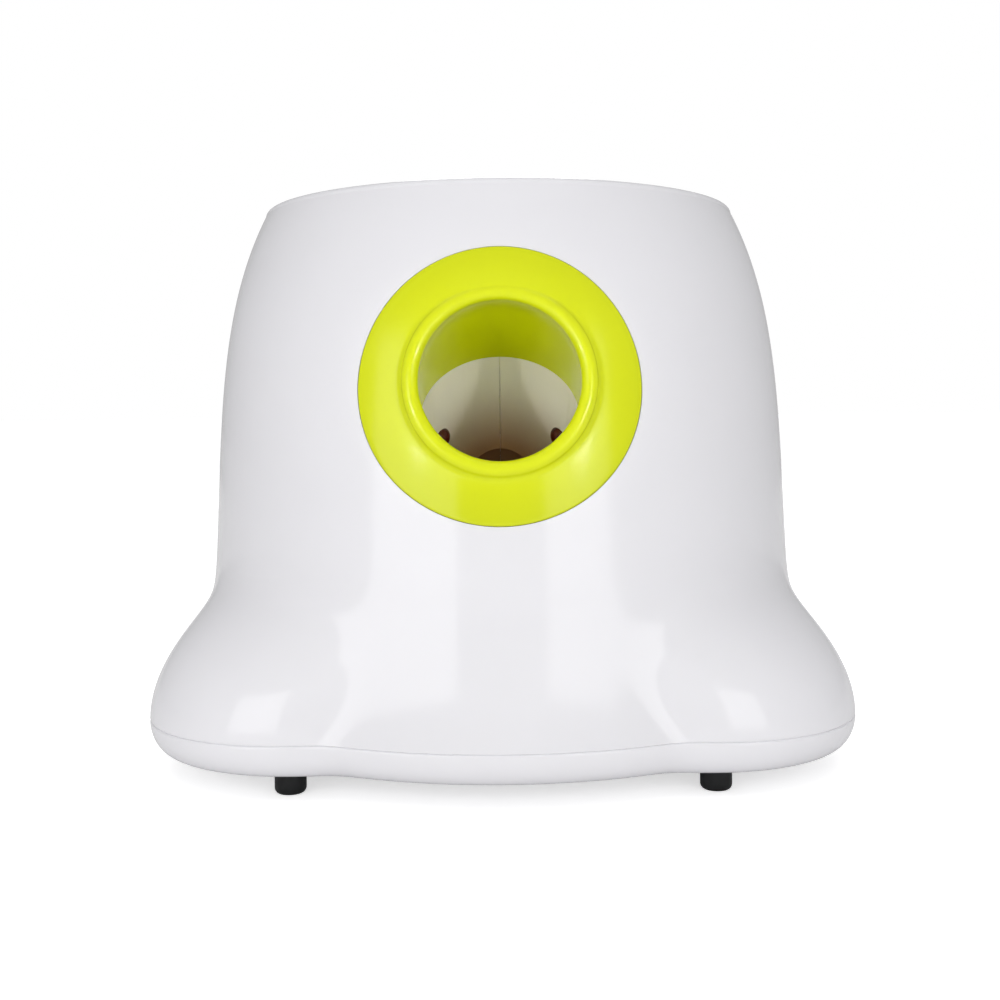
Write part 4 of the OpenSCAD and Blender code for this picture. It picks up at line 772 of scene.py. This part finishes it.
def ring_rows(b, p):
    """The ring, its lip, the barrel behind it and their back, as one closed loop of rows."""
    a = np.linspace(0, 2 * math.pi, MOUTH_STEPS, endpoint=False)
    places = mouth_place(b, p, p.ring_tilt), mouth_place(b, p, p.barrel_drop), tube_place(p)
    face, bore, tube = (np.array(m) for m in places)
    proud, edge, fillet, out = p.ring_proud, 0.6 * MM, p.lip_fillet, ring_reach(p, a)
    lip, middle = p.lip_r, p.mouth_r + p.lip_r
    wall, shell = middle + lip, 2.4 * MM
    x, y, meet, m, low = lip_fillet(b, p, face, a)
    rows = []
    for t in np.linspace(0, math.pi / 2, 6):
        rho = out - edge + edge * math.cos(t)
        rows.append(placed(face, rho, a, on_trunk(b, face, rho, a, proud - edge + edge * math.sin(t))))
    for u in np.linspace(0, 1, 12)[1:]:
        rho = (1 - u) * (out - edge) + u * meet
        rows.append(placed(face, rho, a, on_trunk(b, face, rho, a, proud)))
    first, last = np.arctan2(-1, m), np.where(low, -math.pi, np.arctan2(-y, middle - x))
    for u in np.linspace(0, 1, 9)[1:]:
        t = first + (last - first) * u
        rows.append(placed(face, x + fillet * np.cos(t), a, y + fillet * np.sin(t)))
    first = np.where(low, 0, np.arctan2(y, x - middle))
    for u in np.linspace(0, 1, 26)[0 if low.all() else 1 :]:
        t = first + (math.pi - first) * u
        rows.append(placed(face, middle + lip * np.cos(t), a, lip * np.sin(t)))
    blend = 9 * MM
    for u in np.linspace(0, 1, 12)[1:]:
        w = u * u * (3 - 2 * u)
        mouth, barrel = placed(face, p.mouth_r, a, -blend * u), placed(bore, p.barrel_r, a, -blend * u)
        rows.append((1 - w) * mouth + w * barrel)
    along = tube[:3, 2]
    drop = float(bore[:3, 2] @ along)

    def depth(r, s):
        """Depth in the barrel's frame at which a line along it reaches a distance along the tube."""
        return ((placed(bore, r, a, 0) - tube[:3, 3]) @ along - s) / drop

    end = depth(p.barrel_r, p.tube_end)
    for u in np.linspace(0, 1, 12)[1:]:
        rows.append(placed(bore, p.barrel_r, a, -(blend + (end - blend) * u)))
    q = rows[-1] - tube[:3, 3]
    over = q @ tube[:3, 1]
    reach, turn = np.hypot(q[:, 0], over), np.arctan2(over, q[:, 0])
    sleeve = p.tube_r + p.tube_wall + 0.3 * MM
    back, front, flange = p.tube_end - 7 * MM, p.tube_end + 3.5 * MM, p.barrel_r + 9 * MM
    for r, s in ((np.maximum(reach, sleeve), p.tube_end), (sleeve, back), (sleeve + shell, back),
                 (sleeve + shell, p.tube_end - 0.05 * MM), (flange, p.tube_end), (flange, front)):
        rows.append(placed(tube, r, turn, s))
    outside = p.barrel_r + shell
    foot = (front + 0.5 * MM - (placed(face, wall, a, 0) - tube[:3, 3]) @ along) / float(face[:3, 2] @ along)
    foot = np.maximum(foot, -12 * MM)
    behind = (placed(face, wall, a, foot) - tube[:3, 3]) @ along
    low_end, high_end = depth(outside, front), depth(outside, behind)
    for u in np.linspace(0, 1, 4):
        rows.append(placed(bore, outside, a, -(low_end + (np.minimum(high_end, low_end) - low_end) * u)))
    rows.append(placed(face, wall, a, foot))
    # the flange behind the shell: its back and its seat against the shell, in mm from the trunk's face
    rim, seat, under = out + 5 * MM, -3.1, -5.5
    for rho, offset in ((wall, under), ((wall + out) / 2, under), (rim, under), (rim, seat), (out, seat)):
        rows.append(placed(face, rho, a, on_trunk(b, face, rho, a, offset * MM)))
    return rows


class LAUNCHER_OT_ring(bpy.types.Operator):
    """Coloured ring with its rolled lip, and the barrel behind it"""

    bl_idname = "launcher.ring"
    bl_label = "Ring and barrel"

    def execute(self, context):
        mesh = loop_solid("ring", ring_rows(context.scene.launcher_body, context.scene.launcher_path))
        piece("mouth_ring", shade(mesh, 40), "lime", "ring_lime", nodes=("barrel_ring",))
        return {"FINISHED"}


class LAUNCHER_OT_tube(bpy.types.Operator):
    """Both halves of the launch tube and the windows of its infrared sensors"""

    bl_idname = "launcher.tube"
    bl_label = "Launch tube"

    def execute(self, context):
        p = context.scene.launcher_path
        # a window's brim beyond its bore, its depth, how far the brim stands in, and the foot under the wall
        brim, dome_h, sunk, foot, root = p.sensor_r + 0.7 * MM, 3.6 * MM, 0.3 * MM, 0.5 * MM, 2.2 * MM
        dome = [(brim * math.sin(t), sunk - dome_h * math.cos(t)) for t in np.linspace(0, math.pi / 2, 20)]
        profile = dome + [(p.sensor_r, foot), (p.sensor_r, root), (0, root)]
        for side, word in ((-1, "left"), (1, "right")):
            half, window_node = "launch_tube_" + word, "sensor_window_" + word
            piece("tube_" + word, smooth_copy(half), "tube", "tube_ivory", nodes=(half,))
            window = revolved("window", profile, 64, sensor_place(p, side, p.tube_r))
            piece("window_" + word, shade(window, 40), "infrared", "window_dark_red", nodes=(window_node,))
        return {"FINISHED"}


def bowl_rows(b, p):
    """The bowl as one closed loop of rows, from its off-centre neck to its rim and back underneath."""
    a = np.linspace(0, 2 * math.pi, MOUTH_STEPS, endpoint=False)
    ray = np.stack([np.cos(a), np.sin(a)], 1)
    hole = np.array([0, p.chute_y])
    slope = math.tan(p.bowl_slope)
    ledge = b.rim_z - b.ledge_depth
    pocket = float(trunk_radius(b, b.rim_z - b.rim_roll)) - 2 * b.rim_roll
    play = 0.4 * MM
    outer, inner = pocket - play, pocket - b.ledge_w - play
    hole_z = ledge - 1 * MM - (pocket - b.ledge_w - p.drop_r) * slope
    middle = hole_z - p.drop_r * slope
    neck = hole_z - 12 * MM
    top = b.rim_z - 3 * MM
    step, t = inner - p.bowl_wall, p.bowl_wall
    lip = 2.2 * MM
    soft = 2.5 * MM

    def row(xy, z):
        """A row of points at its heights."""
        return np.column_stack([xy, np.broadcast_to(z, len(xy))])

    def funnel(xy):
        """Height of the funnel over a point."""
        return middle + np.hypot(xy[:, 0], xy[:, 1]) * slope

    def about(r, centre=(0, 0)):
        """A circle of points."""
        return np.array(centre) + ray * r

    edge = about(p.drop_r, hole)
    out = about(p.drop_r + lip, hole)
    corner, start_z, end_z = funnel(edge), funnel(edge) - lip, funnel(out)
    rows = [row(edge, neck)]
    for u in np.linspace(0, 1, 9):
        xy = edge * (1 - u * u) + out * u * u
        rows.append(row(xy, start_z * (1 - u) ** 2 + 2 * u * (1 - u) * corner + end_z * u * u))
    for u in np.linspace(0, 1, 22)[1:]:
        xy = out * (1 - u) + about(step - soft) * u
        rows.append(row(xy, funnel(xy)))
    wall_foot = middle + step * slope
    bend = (step - soft, wall_foot - soft * slope), (step, wall_foot), (step + 0.15 * MM, wall_foot + soft)
    profile = bezier(*bend)[1:]
    shelf = ledge + t
    # the step's edge and the foot of the upright rim: start, corner and end, in mm from the shelf's own edges
    edge_bend, rim_bend = ((0.5, -1.5), (0.6, 0.3), (3, 1.1)), ((-1.5, 1.7), (0, 2), (0.2, 4))
    for side, corners in ((step, edge_bend), (outer - t, rim_bend)):
        profile += bezier(*((side + x * MM, shelf + z * MM) for x, z in corners))
    rim = (outer - t + 0.6 * MM, outer)
    round_r = (rim[1] - rim[0]) / 2
    profile += [((rim[0] + rim[1]) / 2 - round_r * math.cos(v), top - round_r + round_r * math.sin(v))
                for v in np.linspace(0, math.pi, 11)]
    under = middle - t / math.cos(p.bowl_slope)
    profile += [(outer, ledge), (inner, ledge), (inner, under + inner * slope)]
    rows += [row(about(r), z) for r, z in profile]
    neck_out = about(p.chute_r - 0.3 * MM, hole)
    foot = under + np.hypot(neck_out[:, 0], neck_out[:, 1]) * slope
    rows += [row(neck_out, np.maximum(foot, neck + 1 * MM)), row(neck_out, neck)]
    return rows


def bezier(a, k, c, steps=7):
    """Points of a quadratic curve from a to c that heads for k."""
    a, k, c = (np.array(q) for q in (a, k, c))
    return [tuple(a * (1 - u) ** 2 + 2 * u * (1 - u) * k + c * u * u) for u in np.linspace(0, 1, steps)]


class LAUNCHER_OT_bowl(bpy.types.Operator):
    """Bowl that feeds the launcher"""

    bl_idname = "launcher.bowl"
    bl_label = "Bowl"

    def execute(self, context):
        mesh = loop_solid("bowl", bowl_rows(context.scene.launcher_body, context.scene.launcher_path))
        piece("bowl", shade(mesh, 40), "shell", "bowl_white", nodes=("hopper_bowl",))
        return {"FINISHED"}


# ---------- repeated pieces ----------


def new_tree(name, sizes):
    """A geometry tree with inputs for sizes and finish, the inputs' identifiers, and their sockets inside."""
    tree = bpy.data.node_groups.new(name, "GeometryNodeTree")
    tree.interface.new_socket("Geometry", in_out="INPUT", socket_type="NodeSocketGeometry")
    keys = {}
    for word, value in sizes.items():
        made = tree.interface.new_socket(word, in_out="INPUT", socket_type="NodeSocketFloat")
        made.default_value = value
        keys[word] = made.identifier
    finish = tree.interface.new_socket("Finish", in_out="INPUT", socket_type="NodeSocketMaterial")
    keys["Finish"] = finish.identifier
    tree.interface.new_socket("Geometry", in_out="OUTPUT", socket_type="NodeSocketGeometry")
    return tree, keys, add(tree, "NodeGroupInput").outputs


def moved(tree, geometry, x, y, z):
    """Geometry with its points set to three sockets' values."""
    spot = add(tree, "ShaderNodeCombineXYZ", {"X": x, "Y": y, "Z": z})
    return add(tree, "GeometryNodeSetPosition",
               {"Geometry": geometry, "Position": spot.outputs[0]}).outputs[0]


def end_tree(tree, geometry, finish):
    """Makes a tree's instances real, gives them their finish and puts them out."""
    real = add(tree, "GeometryNodeRealizeInstances", {"Geometry": geometry})
    painted = add(tree, "GeometryNodeSetMaterial", {"Geometry": real.outputs[0], "Material": finish})
    add(tree, "NodeGroupOutput", {"Geometry": painted.outputs[0]})


def turned_tree(name, profile, count):
    """A tree that stands one turned part on every point of a mesh, along the point's own axis attribute.

    The profile is a list of shares of the part's radius and height, from the foot of its axis to the top."""
    tree, keys, given = new_tree(name, {"Radius": 3 * MM, "Height": 3 * MM})
    last = len(profile) - 1
    grid = add(tree, "GeometryNodeMeshGrid",
               {"Size X": 1.0, "Size Y": 1.0, "Vertices X": len(profile), "Vertices Y": count + 1})
    place = add(tree, "GeometryNodeInputPosition")
    split = add(tree, "ShaderNodeSeparateXYZ", {"Vector": place.outputs[0]})
    share = maths(tree, "ADD", split.outputs["X"], 0.5)
    turn = maths(tree, "MULTIPLY_ADD", split.outputs["Y"], 2 * math.pi, math.pi)
    sides = []
    for k, size in enumerate(("Radius", "Height")):
        curve = add(tree, "ShaderNodeFloatCurve", {"Value": share})
        line = curve.mapping.curves[0]
        curve.mapping.use_clip = False
        for i, point in enumerate(profile):
            x = i / last
            ends = {0: line.points[0], last: line.points[-1]}
            spot = ends.get(i) or line.points.new(x, point[k])
            spot.location = (x, point[k])
            spot.handle_type = "VECTOR"
        curve.mapping.update()
        sides.append(maths(tree, "MULTIPLY", curve.outputs[0], given[size]))
    x, y = (maths(tree, "MULTIPLY", sides[0], maths(tree, word, turn)) for word in ("COSINE", "SINE"))
    shaped = moved(tree, grid.outputs["Mesh"], x, y, sides[1])
    whole = add(tree, "GeometryNodeMergeByDistance", {"Distance": MERGE, "Geometry": shaped})
    axis = add(tree, "GeometryNodeInputNamedAttribute", {"Name": "axis"}, data_type="FLOAT_VECTOR")
    lean = add(tree, "FunctionNodeAlignRotationToVector", {"Vector": axis.outputs[0]}, axis="Z")
    copies = add(tree, "GeometryNodeInstanceOnPoints",
                 {"Points": given["Geometry"], "Instance": whole.outputs[0], "Rotation": lean.outputs[0]})
    end_tree(tree, copies.outputs[0], given["Finish"])
    return tree, keys


def grown(name, tree, keys, values, points, axes):
    """Runs a tree over some points and gives the plain mesh; values are keyed by the inputs' names."""
    base = bpy.data.meshes.new(name + "_points")
    base.from_pydata([tuple(q) for q in points], [], [])
    axis = base.attributes.new("axis", "FLOAT_VECTOR", "POINT")
    axis.data.foreach_set("vector", np.array(axes, float).ravel())
    holder = bpy.data.objects.new(name, base)
    bpy.context.scene.collection.objects.link(holder)
    nodes = holder.modifiers.new("build", "NODES")
    nodes.node_group = tree
    for word, value in values.items():
        nodes[keys[word]] = value
    mesh = turned_out(evaluated(holder))
    holder.modifiers.clear()
    bpy.data.objects.remove(holder)
    bpy.data.meshes.remove(base)
    if "axis" in mesh.attributes:
        mesh.attributes.remove(mesh.attributes["axis"])
    return mesh


# half sections, as shares of radius and height
FOOT_SECTION = [
    (0, 0.04), (0.35, 0.04), (0.45, 0.03), (0.52, 0), (0.78, 0), (0.86, 0.03), (0.95, 0.1), (0.985, 0.17),
    (0.985, 0.8), (0.9925, 0.86), (0.9925, 1), (0.5, 1), (0, 1),
]
SCREW_SECTION = [
    (0, -2.2), (0.34, -2.2), (0.42, -1.9), (0.42, 0), (0.42, 0.001), (1, 0), (1, 0.36), (0.96, 0.56),
    (0.84, 0.78), (0.62, 0.93), (0.46, 1), (0.42, 0.96), (0.36, 0.42), (0, 0.36),
]


class LAUNCHER_OT_feet(bpy.types.Operator):
    """Rubber feet, each pressed into a socket of the pan"""

    bl_idname = "launcher.feet"
    bl_label = "Rubber feet"

    def execute(self, context):
        tree, keys = turned_tree("Rubber feet", FOOT_SECTION, 64)
        places = [(x, y) for x in (-1, 1) for y in (-1, 1)]
        words = [f"foot_{'front' if y < 0 else 'rear'}_{'left' if x < 0 else 'right'}" for x, y in places]
        spots = [(x * FOOT_AT[0] * MM, y * FOOT_AT[1] * MM, 0) for x, y in places]
        values = {"Radius": FOOT_R * MM, "Height": FOOT_H * MM, "Finish": FINISH["rubber"]}
        mesh = grown("feet", tree, keys, values, spots, [(0, 0, 1)] * 4)
        piece("feet", shade(mesh, 40), "rubber", "foot_rubber", nodes=tuple(words))
        return {"FINISHED"}


class LAUNCHER_OT_screws(bpy.types.Operator):
    """Screws of the body, launch tube, plates, gearbox and motor"""

    bl_idname = "launcher.screws"
    bl_label = "Screws"

    def execute(self, context):
        p = context.scene.launcher_path
        tree, keys = turned_tree("Pan-head screws", SCREW_SECTION, 32)
        down, side = Vector((0, 0, -1)), Vector((1, 0, 0))
        flange = (p.tube_r + p.tube_wall) / MM + 4

        def on_flange(over, along):
            """A place on the side of the tube's flanges, in millimetres."""
            return tube_place(p, along * MM) @ Vector((0, over * MM, 0)) / MM + Vector((2.5, 0, 0))

        # the seats of each node's screws and the way that their heads face, and the height of a head
        along = ((-flange, 30), (-flange, 62), (-flange, 96), (flange, 96))
        screws = {
            "base_screws": ([(x * POST_AT[0], y * POST_AT[1], POST_SEAT) for x, y in CORNERS], down, 1.6),
            "plate_screws": ([(x, y, LEG_SEAT) for x, y in SEAT_SCREWS], down, 0.9),
            "tube_screws": ([on_flange(*q) for q in along], side, 1.6),
            "gearbox_screws": ([(GEARBOX_X, y, z) for y, z in GEARBOX_PILLARS], -side, 1.6),
            "motor_screws": ([(MOTOR_FACE_X, *q) for q in motor_screw_spots()], side, 0.9),
        }
        for node, (seats, way, high) in screws.items():
            values = {"Radius": 2.8 * MM, "Height": high * MM, "Finish": FINISH["zinc"]}
            mesh = grown(node, tree, keys, values, [Vector(q) * MM for q in seats], [way] * len(seats))
            piece(node.replace("screws", "fixings"), shade(mesh, 40), "zinc", "screw_zinc", nodes=(node,))
        return {"FINISHED"}


# pillars that join the gearbox's cover to its plate, the motor's axis and the hammer's, (y, z) in millimetres
GEARBOX_PILLARS = [(54, 24), (94, 22), (98, 69), (44, 108)]
MOTOR_AT, PIVOT_AT = (78.4079, 99.2042), (46.8812, 76.781)
# faces that carry the gearbox's and the motor's screws
GEARBOX_X, MOTOR_FACE_X = 37.5, 40


def motor_screw_spots():
    """The two screws of the motor's face, (y, z) in millimetres."""
    turns = [math.radians(20 + s * 90) for s in (-1, 1)]
    return [(MOTOR_AT[0] + 8 * math.cos(t), MOTOR_AT[1] + 8 * math.sin(t)) for t in turns]


class LAUNCHER_OT_spring(bpy.types.Operator):
    """Torsion spring that drives the hammer"""

    bl_idname = "launcher.spring"
    bl_label = "Hammer spring"

    def execute(self, context):
        sizes = {"Radius": 6.4 * MM, "Wire radius": 0.9 * MM, "Turns": 6.0, "Start": -34.3 * MM,
                 "Length": 23.9 * MM, "Leg": 16 * MM, "Start angle": math.radians(-135)}
        tree, keys, given = new_tree("Torsion spring", sizes)
        steps = 32 * int(sizes["Turns"])
        line = add(tree, "GeometryNodeCurvePrimitiveLine", {"Start": (0, 0, 0), "End": (1, 0, 0)})
        points = add(tree, "GeometryNodeResampleCurve", {"Count": steps + 3, "Curve": line.outputs[0]})
        index = add(tree, "GeometryNodeInputIndex")
        # the first and the last point lie beyond the coil, at the ends of its legs
        raw = maths(tree, "MULTIPLY_ADD", index.outputs[0], 1 / steps, -1 / steps)
        share = add(tree, "ShaderNodeClamp", {"Min": 0.0, "Max": 1.0, "Value": raw}).outputs[0]
        beyond = maths(tree, "MULTIPLY", maths(tree, "SUBTRACT", raw, share), float(steps))
        over = maths(tree, "MULTIPLY", beyond, given["Leg"])
        full = maths(tree, "MULTIPLY", given["Turns"], 2 * math.pi)
        turn = maths(tree, "MULTIPLY_ADD", share, full, given["Start angle"])
        cosine, sine = (maths(tree, word, turn) for word in ("COSINE", "SINE"))
        x = maths(tree, "MULTIPLY_ADD", share, given["Length"], given["Start"])
        leg_y = maths(tree, "MULTIPLY", sine, maths(tree, "MULTIPLY", over, -1.0))
        y = maths(tree, "MULTIPLY_ADD", cosine, given["Radius"], leg_y)
        z = maths(tree, "MULTIPLY_ADD", sine, given["Radius"], maths(tree, "MULTIPLY", cosine, over))
        bent = moved(tree, points.outputs[0], x, y, z)
        section = add(tree, "GeometryNodeCurvePrimitiveCircle",
                      {"Resolution": 16, "Radius": given["Wire radius"]})
        wire = add(tree, "GeometryNodeCurveToMesh",
                   {"Fill Caps": True, "Curve": bent, "Profile Curve": section.outputs[0]})
        end_tree(tree, wire.outputs[0], given["Finish"])
        values = {**sizes, "Finish": FINISH["spring"]}
        mesh = grown("spring", tree, keys, values, [(0, 0, 0)], [(0, 0, 1)])
        mesh.transform(Matrix.Translation((0, PIVOT_AT[0] * MM, PIVOT_AT[1] * MM)))
        piece("spring", shade(mesh, 40), "spring", "spring_steel", nodes=("hammer_spring",))
        return {"FINISHED"}


# ---------- pieces that keep the solids' own shape ----------

# node: name of the piece, finish, slot, and its body where that isn't the housing
KEPT = {
    "bearing_plate_left": ("plate_left", "plate", "plate_grey"),
    "bearing_plate_right": ("plate_right", "plate", "plate_grey"),
    "gearbox_cover": ("gear_cover", "plate", "plate_grey"),
    "gear_pins": ("pins", "steel", "shaft_steel"),
    "hammer": ("hammer_arm", "black", "hammer_black", "hammer"),
    "hammer_pad": ("strike_pad", "rubber", "pad_rubber", "hammer"),
    "hammer_shaft": ("hammer_axle", "steel", "shaft_steel", "hammer"),
    "hammer_bushes": ("bushes", "bronze", "bush_bronze"),
    "shaft_clips": ("axle_clips", "spring", "spring_steel", "hammer"),
    "hammer_gear": ("quadrant", "nylon", "gear_nylon", "hammer"),
    "sector_gear": ("sector", "nylon", "gear_nylon", "sector"),
    "second_gear": ("gear_two", "nylon", "gear_nylon", "second"),
    "first_gear": ("gear_one", "nylon", "gear_nylon", "first"),
    "motor_can": ("motor", "zinc", "motor_steel"),
    "motor_end_cap": ("motor_cap", "black", "motor_black"),
    "motor_shaft": ("motor_axle", "steel", "shaft_steel", "motor_rotor"),
    "motor_pinion": ("pinion", "brass", "pinion_brass", "motor_rotor"),
    "cells_left": ("cells_port", "jacket", "cell_jacket"),
    "cells_right": ("cells_starboard", "jacket", "cell_jacket"),
    "battery_contacts": ("contacts", "nickel", "contact_nickel"),
    "battery_door_left": ("door_port", "shell", "shell_white", "door_left"),
    "battery_door_right": ("door_starboard", "shell", "shell_white", "door_right"),
    "control_panel": ("panel", "panel", "panel_white"),
    "power_button": ("button_power", "red", "button_red", "power_button"),
    "distance_button": ("button_distance", "lime", "ring_lime", "distance_button"),
    "indicator_lenses": ("lenses", "lens", "lens_clear"),
    "control_board": ("board_controls", "board", "board_green"),
    "main_board": ("board_main", "board", "board_green"),
    "board_parts": ("components", "black", "parts_black"),
    "buzzer": ("sounder", "black", "parts_black"),
    "dc_jack": ("power_jack", "black", "parts_black"),
    "sensor_emitter": ("emitter", "jacket", "diode_grey"),
    "sensor_receiver": ("receiver", "black", "diode_black"),
    "motor_leads": ("leads_motor", "wire_red", "lead_red"),
    "battery_leads": ("leads_battery", "wire_black", "lead_black"),
    "sensor_leads": ("leads_sensor", "wire_grey", "lead_grey"),
}


class LAUNCHER_OT_inner(bpy.types.Operator):
    """Mechanism, batteries, electronics and controls, smoothed from the solids"""

    bl_idname = "launcher.inner"
    bl_label = "Mechanism and electronics"

    def execute(self, context):
        for node, (name, finish, slot, *body) in KEPT.items():
            piece(name, smooth_copy(node, 28), finish, slot, *body, nodes=(node,))
        return {"FINISHED"}


# ---------- studio ----------

# soft lights: place, point that they face, size and power
SOFTBOXES = {
    # two near ones leave two upright bands on shell and ring, with a gap between them
    "front left": ((-0.39, -0.68, 0.2), (0, -0.1, 0.2), (0.425, 0.38), 0.85),
    "front right": ((0.358, -0.715, 0.2), (0, -0.1, 0.2), (0.325, 0.38), 0.65),
    # two far ones lift the front, where this one leaves no reflection, and the back
    "front fill": ((0, -2.2, 0.85), (0, 0, 0.12), (1.4, 1.0), 8.4),
    "back fill": ((0, 2.2, 1.1), (0, 0, 0.12), (0.5, 1.2), 10),
}
# narrow spots into the mouth: place on the right side, point that they light
SNOOT_AT, MOUTH_AT = (0.42, -0.8, 0.24), (0, -0.115, 0.15)
# camera: place, roll, lens in millimetres and shift of the picture
CAMERA_AT, CAMERA_ROLL, LENS, SHIFT = (0, -0.591, 0.1418), math.radians(-0.52), 46.8, -0.092
WHITE = (1, 1, 1, 1)


def lamp(name, kind, **settings):
    """A lamp in the scene with its settings."""
    data = bpy.data.lights.new(name, kind)
    for key, value in settings.items():
        setattr(data, key, value)
    made = bpy.data.objects.new(name, data)
    bpy.context.scene.collection.objects.link(made)
    return made


def aimed(made, place, target):
    """Stands a lamp at a place and turns it to a point."""
    made.location = place
    made.rotation_euler = (Vector(target) - Vector(place)).to_track_quat("-Z", "Y").to_euler()
    return made


class LAUNCHER_OT_studio(bpy.types.Operator):
    """Pale floor, soft lights and camera"""

    bl_idname = "launcher.studio"
    bl_label = "Studio"

    def execute(self, context):
        scene = context.scene
        floor = bpy.data.objects.new("floor", block("floor", (-20, -20, -0.02), (20, 20, 0)))
        scene.collection.objects.link(floor)
        # matt paper sweep, which the camera sees burnt out to white: almost white, without gloss
        paper, tree, shader, coords = start(
            "Paper sweep", {"Roughness": 0.9, "Specular IOR Level": 0.1, "Emission Color": WHITE}
        )
        seen = add(tree, "ShaderNodeLightPath").outputs["Is Camera Ray"]
        tree.links.new(maths(tree, "MULTIPLY", seen, 0.55), shader.inputs["Emission Strength"])
        mottle = add(tree, "ShaderNodeTexNoise", {"Scale": 400.0, "Vector": coords})
        tone = add(tree, "ShaderNodeMapRange",
                   {"To Min": 0.93, "To Max": 0.96, "Value": mottle.outputs["Fac"]})
        tree.links.new(tone.outputs[0], shader.inputs["Base Color"])
        floor.data.materials.append(paper)

        # an even room that lights with less than the plain white that the camera sees
        world = bpy.data.worlds.new("Studio")
        scene.world = world
        world.use_nodes = True
        nodes = world.node_tree
        room = nodes.nodes["Background"]
        room.inputs["Color"].default_value = WHITE
        room.inputs["Strength"].default_value = 0.44
        plain = add(nodes, "ShaderNodeBackground", {"Color": WHITE, "Strength": 1.0})
        seen = add(nodes, "ShaderNodeLightPath").outputs["Is Camera Ray"]
        mixed = add(nodes, "ShaderNodeMixShader", {0: seen, 1: room.outputs[0], 2: plain.outputs[0]})
        nodes.links.new(mixed.outputs[0], nodes.nodes["World Output"].inputs["Surface"])

        for name, (place, target, (wide, high), power) in SOFTBOXES.items():
            box = lamp(name, "AREA", shape="RECTANGLE", size=wide, size_y=high, energy=power)
            aimed(box, place, target).visible_camera = False
            box.visible_glossy = name != "front fill"
        for side in (-1, 1):
            spot = lamp("snoot", "SPOT", energy=10, shadow_soft_size=0.03)
            spot.data.spot_size, spot.data.spot_blend = math.radians(4.4), 0.6
            aimed(spot, (side * SNOOT_AT[0], *SNOOT_AT[1:]), MOUTH_AT)
        lamp("overhead", "SUN", energy=0.3, angle=math.radians(70))

        data = bpy.data.cameras.new("camera")
        data.lens, data.sensor_width = LENS, 36.0
        data.shift_y = SHIFT
        data.clip_start = 0.01
        camera = bpy.data.objects.new("camera", data)
        level = Matrix.Translation(CAMERA_AT) @ Matrix.Rotation(math.pi / 2, 4, "X")
        camera.matrix_world = level @ Matrix.Rotation(CAMERA_ROLL, 4, "Z")
        scene.collection.objects.link(camera)
        scene.camera = camera
        scene.view_settings.view_transform = "Standard"
        return {"FINISHED"}


# ---------- add-on ----------

OPERATORS = [
    LAUNCHER_OT_finishes,
    LAUNCHER_OT_shell,
    LAUNCHER_OT_pan,
    LAUNCHER_OT_ring,
    LAUNCHER_OT_tube,
    LAUNCHER_OT_bowl,
    LAUNCHER_OT_feet,
    LAUNCHER_OT_screws,
    LAUNCHER_OT_spring,
    LAUNCHER_OT_inner,
    LAUNCHER_OT_studio,
]


class LAUNCHER_PT_panel(bpy.types.Panel):
    """Lists the launcher's pieces and sizes"""

    bl_idname = "LAUNCHER_PT_panel"
    bl_label = "Dog ball launcher"
    bl_space_type = "VIEW_3D"
    bl_region_type = "UI"
    bl_category = "Launcher"

    def draw(self, context):
        for operator in OPERATORS:
            self.layout.operator(operator.bl_idname)
        scene = context.scene
        for group in (scene.launcher_body, scene.launcher_path, scene.launcher_finishes):
            column = self.layout.column()
            for key in group.__annotations__:
                column.prop(group, key)


CLASSES = [BodySizes, PathSizes, Finishes, *OPERATORS, LAUNCHER_PT_panel]


def register():
    for item in CLASSES:
        bpy.utils.register_class(item)
    bpy.types.Scene.launcher_body = PointerProperty(type=BodySizes)
    bpy.types.Scene.launcher_path = PointerProperty(type=PathSizes)
    bpy.types.Scene.launcher_finishes = PointerProperty(type=Finishes)


def unregister():
    del bpy.types.Scene.launcher_finishes, bpy.types.Scene.launcher_path, bpy.types.Scene.launcher_body
    for item in reversed(CLASSES):
        bpy.utils.unregister_class(item)


def main():
    register()
    for operator in OPERATORS:
        group, name = operator.bl_idname.split(".")
        getattr(getattr(bpy.ops, group), name)()


if __name__ == "__main__":
    main()
